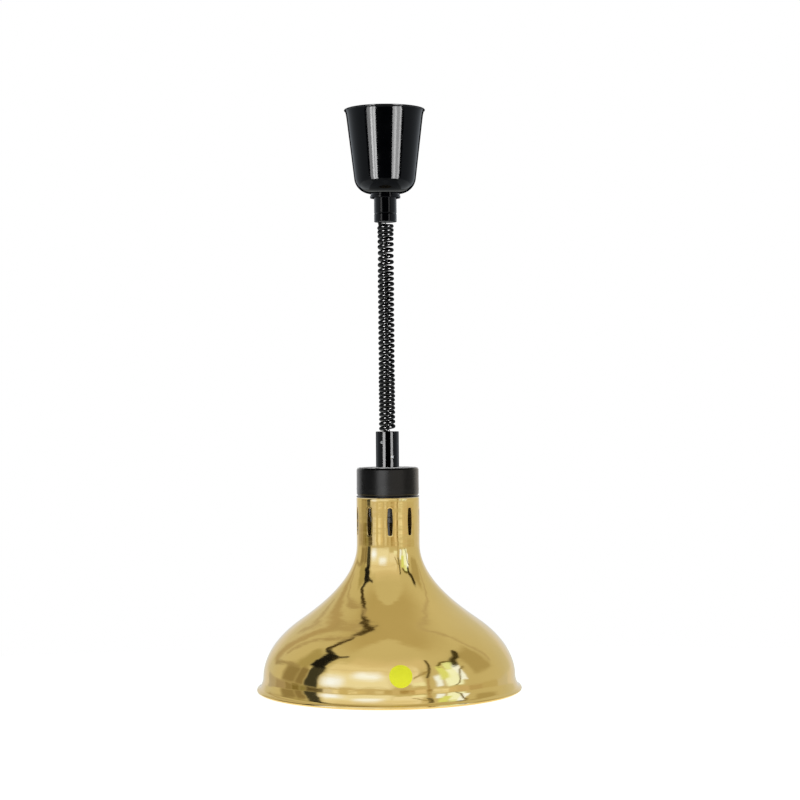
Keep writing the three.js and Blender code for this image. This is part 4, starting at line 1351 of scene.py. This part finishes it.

# The studio, as directions from the lamp in degrees: azimuth from the front towards +X, then elevation.
# Each colour is the one that the thing has when it is mirrored in the gold, in sRGB.
# The three tables were typed and tuned from colours printed off the photo: an open failure.
PANELS = (
    # name, azimuth from and to, elevation from and to, softness, colour
    ("ceiling", 62, 296, 63, 110, 26, (183, 154, 84)),
    ("peach_front", -48, 44, 36, 56, 16, (214, 184, 114)),
    ("left_wall", -141, -132, 8, 52, 6, (178, 147, 82)),
    ("left_wall_low", -112, -92, -2, 22, 8, (146, 120, 62)),
    ("left_wall_mid", -106, -86, 22, 48, 8, (170, 145, 76)),
    ("right_wall", 86, 112, 14, 45, 8, (176, 148, 80)),
    ("front_softbox", -63, 3, 2, 42, 10, (238, 216, 152)),
    ("front_softbox_right", 3, 31, 10, 43, 6, (236, 212, 148)),
    ("front_softbox_upper", -62, 28, 30, 46, 10, (228, 200, 130)),
    ("hot_spot_low", -62, -44, 4, 20, 15, (255, 252, 236)),
    ("hot_spot_high", -33, -8, 21, 33, 15, (255, 249, 224)),
    ("hot_spot_low_right", 21, 32, 5, 14, 5, (240, 224, 156)),
    ("front_band_seam", -60, 31, -1.5, 0.5, 2, (200, 168, 98)),
    ("right_softbox_left", 42, 49, 2, 24, 4, (248, 244, 216)),
    ("right_softbox", 52, 70, 1, 32, 4, (250, 244, 186)),
    ("right_softbox_green", 48, 58, 16, 38, 4, (222, 216, 106)),
    ("right_softbox_upper", 60, 73, 32, 41, 3, (234, 230, 140)),
    ("right_softbox_side", 68, 75, 9, 36, 2, (254, 248, 216)),
    ("left_block_edge", -92, -82, -2, 24, 5, (140, 114, 58)),
    ("left_block", -81, -67, -2, 34, 3, (62, 55, 32)),
    ("left_flag", -87, -70, 30, 53, 3, (28, 24, 14)),
    ("white_ground", 146, 214, -40, 14, 12, (214, 184, 116)),
)
# Below the horizon: the azimuth at which each upright band starts, and its colour.
BANDS = (
    (-180, (214, 184, 116)),
    (-140, (180, 154, 96)),
    (-122, (166, 138, 82)),
    (-106, (146, 120, 62)),
    (-96, (128, 104, 44)),
    (-86, (138, 118, 56)),
    (-78, (88, 70, 32)),
    (-60, (218, 194, 140)),
    (-50, (236, 210, 144)),
    (-43, (206, 174, 98)),
    (-36, (244, 216, 144)),
    (-27, (222, 188, 112)),
    (-20, (198, 166, 98)),
    (-13, (222, 194, 126)),
    (-5, (190, 158, 88)),
    (3, (204, 172, 102)),
    (10, (168, 132, 62)),
    (17, (190, 152, 82)),
    (24, (228, 192, 120)),
    (32, (150, 116, 48)),
    (38, (232, 206, 138)),
    (46, (240, 214, 142)),
    (54, (214, 180, 108)),
    (62, (204, 170, 102)),
    (74, (188, 156, 88)),
    (92, (192, 164, 92)),
    (112, (202, 176, 112)),
    (134, (214, 184, 116)),
)
# name, width, softness, colour, then the line's points
LINES = (
    ("seam_high", 1.6, 2, (218, 190, 124), (-62, 33), (-40, 37), (-14, 39), (12, 37), (30, 33)),
    ("stand", 2.6, 2, (176, 142, 76), (34, -2), (35, 8), (36, 19)),
    ("stand_head", 2.8, 2, (78, 60, 14), (36, 22), (39.5, 31), (44, 44), (45, 50)),
    ("stand_arm", 2.2, 2, (160, 130, 62), (23, 21), (30, 29), (38, 33)),
    ("softbox_top", 3.0, 2, (98, 81, 12), (54, 40), (60, 43), (67, 43), (73, 41)),
    ("lamp_head", 5.5, 2.5, (58, 45, 12), (73, 36), (77, 42), (85, 43), (93, 48)),
    ("softbox_side", 2.0, 1.5, (116, 92, 24), (61, 1), (66, 7), (69, 18), (73, 27), (78, 28)),
    ("flag_arm_left", 3.5, 2.5, (34, 27, 13), (-84, 51), (-94, 52), (-99, 54)),
    ("flag_arm_right", 3.5, 2.5, (50, 39, 17), (-72, 49), (-67, 53), (-62, 56)),
    ("ribbon", 4.2, 2, (66, 48, 15), (-97, 53), (-102, 61), (-108, 66), (-126, 70), (-143, 72), (-152, 74)),
    ("block_lead", 3.0, 4, (158, 131, 72), (-132, 10), (-116, 18), (-100, 22)),
    ("wall_crease", 3.0, 4, (174, 144, 80), (-137, 51), (-133, 66)),
    ("wall_streak", 2.4, 3, (176, 147, 84), (-128, 22), (-125, 44), (-119, 57), (-112, 63), (-118, 70)),
    ("wall_streak_outer", 2.4, 3, (178, 149, 86), (-149, 24), (-146, 44), (-140, 62), (-132, 68)),
    ("right_streak", 2.4, 3, (180, 151, 88), (116, 20), (119, 42), (124, 56), (134, 66)),
    ("wall_crease_low", 3.0, 4, (172, 142, 80), (-122, 51), (-116, 59)),
)


def direction(azimuth, elevation):
    """Azimuth in degrees from the front towards +X, elevation above the horizon."""
    a, e = math.radians(azimuth), math.radians(elevation)
    return Vector((math.sin(a) * math.cos(e), -math.cos(a) * math.cos(e), math.sin(e)))


def light_of(colour):
    """The light that makes the gold show a colour."""
    linear = [(c / 255 / 12.92) if c < 10 else ((c / 255 + 0.055) / 1.055) ** 2.4 for c in colour]
    return np.array([c / g for c, g in zip(linear, GOLD)])


def eased_share(distance, soft):
    """0 at an edge or outside it, rising to 1 over the soft width inside it."""
    t = np.clip(distance / soft, 0, 1)
    return t * t * (3 - 2 * t)


def panel_share(azimuth, elevation, a0, a1, e0, e1, soft):
    """How much of a panel covers each direction."""
    off = np.abs((azimuth - (a0 + a1) / 2 + 180) % 360 - 180)
    across = eased_share((a1 - a0) / 2 + soft / 2 - off, soft)
    up = eased_share((e1 - e0) / 2 + soft / 2 - np.abs(elevation - (e0 + e1) / 2), soft)
    return across * up


def line_share(azimuth, elevation, width, soft, points):
    """How much of a line through some directions covers each direction."""
    nearest = np.full(azimuth.shape, 1e9)
    for (a0, e0), (a1, e1) in zip(points, points[1:]):
        squeeze = math.cos(math.radians((e0 + e1) / 2))
        da, de = (a1 - a0) * squeeze, e1 - e0
        x = ((azimuth - a0 + 180) % 360 - 180) * squeeze
        y = elevation - e0
        t = np.clip((x * da + y * de) / (da * da + de * de), 0, 1)
        nearest = np.minimum(nearest, np.hypot(x - t * da, y - t * de))
    return eased_share(width / 2 + soft / 2 - nearest, soft)


def studio_wall():
    """The light that comes from every direction of the wall: rows from low to high, columns all round."""
    azimuth, elevation = np.meshgrid(np.arange(0.0, 360.0), np.arange(float(STUDIO_LOW), 90.0))
    light = np.ones((*azimuth.shape, 3)) * np.array(TENT) * TENT_STRENGTH
    for _, a0, a1, e0, e1, soft, colour in PANELS:
        share = panel_share(azimuth, elevation, a0, a1, e0, e1, soft)[..., None]
        light = light * (1 - share) + light_of(colour) * share
    below = eased_share(-elevation - 1, 3)[..., None]
    for (start, colour), (end, _) in zip(BANDS, (*BANDS[1:], (180, None))):
        share = panel_share(azimuth, elevation, start, end, -90, 90, 3)[..., None] * below
        light = light * (1 - share) + light_of(colour) * share
    for _, width, soft, colour, *points in LINES:
        share = line_share(azimuth, elevation, width, soft, points)[..., None]
        light = light * (1 - share) + light_of(colour) * share
    return azimuth, elevation, light


def studio(receivers):
    """A dome about the lamp, hidden from the camera, with the studio's panels and stands painted on it."""
    azimuth, elevation, light = studio_wall()
    build = Build()
    rows = []
    for row_azimuth, row_elevation in zip(azimuth, elevation):
        places = [(STUDIO + direction(a, e) * STUDIO_R) / MM for a, e in zip(row_azimuth, row_elevation)]
        rows.append(build.add(places))
    for low, high in zip(rows, rows[1:]):
        build.bridge(low, high)
    build.fan(rows[-1], (STUDIO + direction(0, 90) * STUDIO_R) / MM)
    material = bpy.data.materials.new("studio_wall")
    material.use_nodes = True
    tree = material.node_tree
    tree.nodes.remove(tree.nodes["Principled BSDF"])
    glow = tree.nodes.new("ShaderNodeEmission")
    paint = tree.nodes.new("ShaderNodeAttribute")
    paint.attribute_name = "paint"
    tree.links.new(paint.outputs["Color"], glow.inputs["Color"])
    tree.links.new(glow.outputs[0], tree.nodes["Material Output"].inputs["Surface"])
    dome = build.make("studio_dome", [material])
    colours = [(*c, 1.0) for c in light.reshape(-1, 3)] + [(*light[-1].mean(axis=0), 1.0)]
    paint_layer = dome.data.attributes.new("paint", "FLOAT_COLOR", "POINT")
    paint_layer.data.foreach_set("color", [v for c in colours for v in c])
    dome.visible_camera = False
    dome.visible_shadow = False
    dome.light_linking.receiver_collection = receivers
    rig.stage(dome)


def floor():
    build = Build()
    build.fan(build.ring(FLOOR_R / MM, FLOOR_Z / MM), (0, 0, FLOOR_Z / MM))
    material = bpy.data.materials.new("pale_floor")
    material.use_nodes = True
    surface = material.node_tree.nodes["Principled BSDF"]
    surface.inputs["Base Color"].default_value = (0.86, 0.86, 0.85, 1)
    surface.inputs["Roughness"].default_value = 0.7
    surface.inputs["Emission Color"].default_value = (1, 1, 1, 1)
    surface.inputs["Emission Strength"].default_value = 0.55
    made = build.make("floor", [material])
    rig.stage(made)
    return made


def world():
    """White to the camera, and a soft grey to everything else."""
    made = bpy.data.worlds.new("studio")
    bpy.context.scene.world = made
    made.use_nodes = True
    tree = made.node_tree
    path = tree.nodes.new("ShaderNodeLightPath")
    paper = tree.nodes["Background"]
    paper.inputs["Color"].default_value = (1, 1, 1, 1)
    tent = tree.nodes.new("ShaderNodeBackground")
    tent.inputs["Color"].default_value = (*TENT, 1)
    tent.inputs["Strength"].default_value = TENT_STRENGTH
    mix = tree.nodes.new("ShaderNodeMixShader")
    tree.links.new(path.outputs["Is Camera Ray"], mix.inputs[0])
    tree.links.new(tent.outputs[0], mix.inputs[1])
    tree.links.new(paper.outputs[0], mix.inputs[2])
    tree.links.new(mix.outputs[0], tree.nodes["World Output"].inputs["Surface"])


def collection_of(name, pieces):
    group = bpy.data.collections.new(name)
    for piece in pieces:
        group.objects.link(piece)
    return group


def finished_in(piece, slots):
    names = [material.name for material in piece.data.materials if material]
    return any(FINISHES[slot].name in names for slot in slots)


STRIP_DISTANCE = 2.0


def strip_light(name, azimuth, elevation, height, radiance, colour, group, diffuse):
    """An area light for one group of pieces, covering azimuth and elevation (from, to) seen from a height."""
    (a0, a1), (e0, e1) = azimuth, elevation
    data = bpy.data.lights.new(name, "AREA")
    data.shape = "RECTANGLE"
    data.size = 2 * STRIP_DISTANCE * math.tan(math.radians((a1 - a0) / 2))
    data.size_y = 2 * STRIP_DISTANCE * math.tan(math.radians((e1 - e0) / 2))
    data.energy = radiance * math.pi * data.size * data.size_y
    data.color = colour
    made = placed(name, data)
    out = direction((a0 + a1) / 2, (e0 + e1) / 2)
    made.location = Vector((0, 0, height * MM)) + out * STRIP_DISTANCE
    made.rotation_mode = "QUATERNION"
    made.rotation_quaternion = out.to_track_quat("Z", "Y")
    made.visible_camera = False
    made.visible_diffuse = diffuse
    made.light_linking.receiver_collection = group


def strips(name, pieces, height, *rows, diffuse=False):
    """The strips of one group of pieces. A row is a name, azimuth, elevation, radiance and colour."""
    group = collection_of(f"lit_{name}", pieces)
    for strip, azimuth, elevation, radiance, colour in rows:
        strip_light(f"{name}_{strip}", azimuth, elevation, height, radiance, colour, group, diffuse)
    return group


def lights():
    """The dome lights the gold, the sticker and the floor. All other pieces have strips of their own."""
    made_floor = floor()
    dark = [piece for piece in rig.pieces() if finished_in(piece, DARK_SLOTS)]

    def dark_named(start):
        return [piece for piece in dark if piece.name.startswith(start)]

    cup, sleeve = dark_named("ceiling_cup"), dark_named("lower_sleeve")
    cap, coil = dark_named("lamp_cap"), dark_named("curly_cord")
    hanging = [piece for piece in dark if piece not in [*cup, *coil, *sleeve, *cap]]
    gold = [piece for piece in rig.pieces() if finished_in(piece, ("gold_shade", "sticker_film"))]
    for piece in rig.pieces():
        piece.visible_glossy = piece in gold or piece.name.startswith("bulb")
    studio(collection_of("lit_by_dome", [*gold, made_floor]))
    white, blue, warm = (1.0, 1.0, 1.0), (0.86, 0.93, 1.0), (1.0, 0.93, 0.84)

    bulb = [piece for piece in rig.pieces() if piece.name.startswith(("bulb_envelope", "steel_cable"))]
    others = [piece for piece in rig.pieces() if piece not in [*gold, *dark, *bulb]]
    front, back = (-60, 60), (120, 240)
    level = (-40, 40)
    inside = (("front", front, level, 2.5, white), ("back", back, level, 1.0, white))
    strips("inside", others, -400, *inside, diffuse=True)
    strips("bulb", bulb, -450, ("front", front, level, 0.12, white), diffuse=True)

    left_stripe = ((-54, -43, 42), (-43, -37, 145), (-37, -34, 75), (-34, -27, 125))
    right_stripe = ((25, 31, 75), (31, 38, 118), (38, 47, 66), (47, 53, 105))
    stripes = [
        (f"stripe_{number}", (start, end), (-26, 40), radiance, white)
        for number, (start, end, radiance) in enumerate((*left_stripe, *right_stripe), 1)
    ]
    strips(
        "cup", cup, -60, *stripes,
        ("left_fill", (-148, -62), (-62, 45), 1.9, blue),
        ("right_fill", (62, 148), (-62, 45), 1.9, blue),
        ("under_left", (-100, -14), (-78, -30), 0.5, blue),
        ("under_right", (20, 106), (-78, -30), 0.4, blue),
    )
    strips(
        "hanging", hanging, -240,
        ("left", (-50, -34), (-30, 30), 12, white),
        ("right", (34, 46), (-30, 30), 9, white),
        ("left_fill", (-150, -56), (-40, 45), 3.0, blue),
        ("right_fill", (52, 150), (-40, 45), 3.0, blue),
    )
    strips(
        "coil", coil, -240,
        ("left", (-43, -25), (-8, 26), 260, white),
        ("right", (38, 56), (-8, 26), 260, white),
        ("left_fill", (-140, -56), (-40, 45), 0.6, blue),
        ("right_fill", (66, 140), (-40, 45), 0.6, blue),
    )
    strips(
        "sleeve", sleeve, -372,
        ("left", (-46, -20), (-22, 22), 100, white),
        ("right", (34, 57), (-22, 22), 85, white),
        ("left_fill", (-138, -50), (-22, 30), 2.4, blue),
        ("right_fill", (66, 138), (-22, 30), 2.4, blue),
    )
    cap_group = strips(
        "cap", cap, -409,
        ("front", (-38, -2), (-20, 20), 3.6, white),
        ("left_fill", (-112, -38), (-20, 30), 0.22, white),
        ("left_edge", (-166, -116), (-20, 30), 1.2, white),
        ("right_fill", (6, 62), (-20, 30), 1.1, warm),
        ("right_shade", (62, 112), (-20, 30), 0.4, warm),
        ("right_edge", (116, 166), (-20, 30), 1.2, warm),
    )
    strip_light("cap_roof", (160, 200), (0, 16), -393, 1.4, white, cap_group, False)


world()
lights()

# ---------------------------------------------------------------- sizes, then the end

visual_low, visual_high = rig.bounds()
with open("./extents.json", "w") as sizes:
    json.dump(
        {
            "cad_box": [list(cad_low), list(cad_high)],
            "visual_box": [list(visual_low), list(visual_high)],
        },
        sizes,
    )
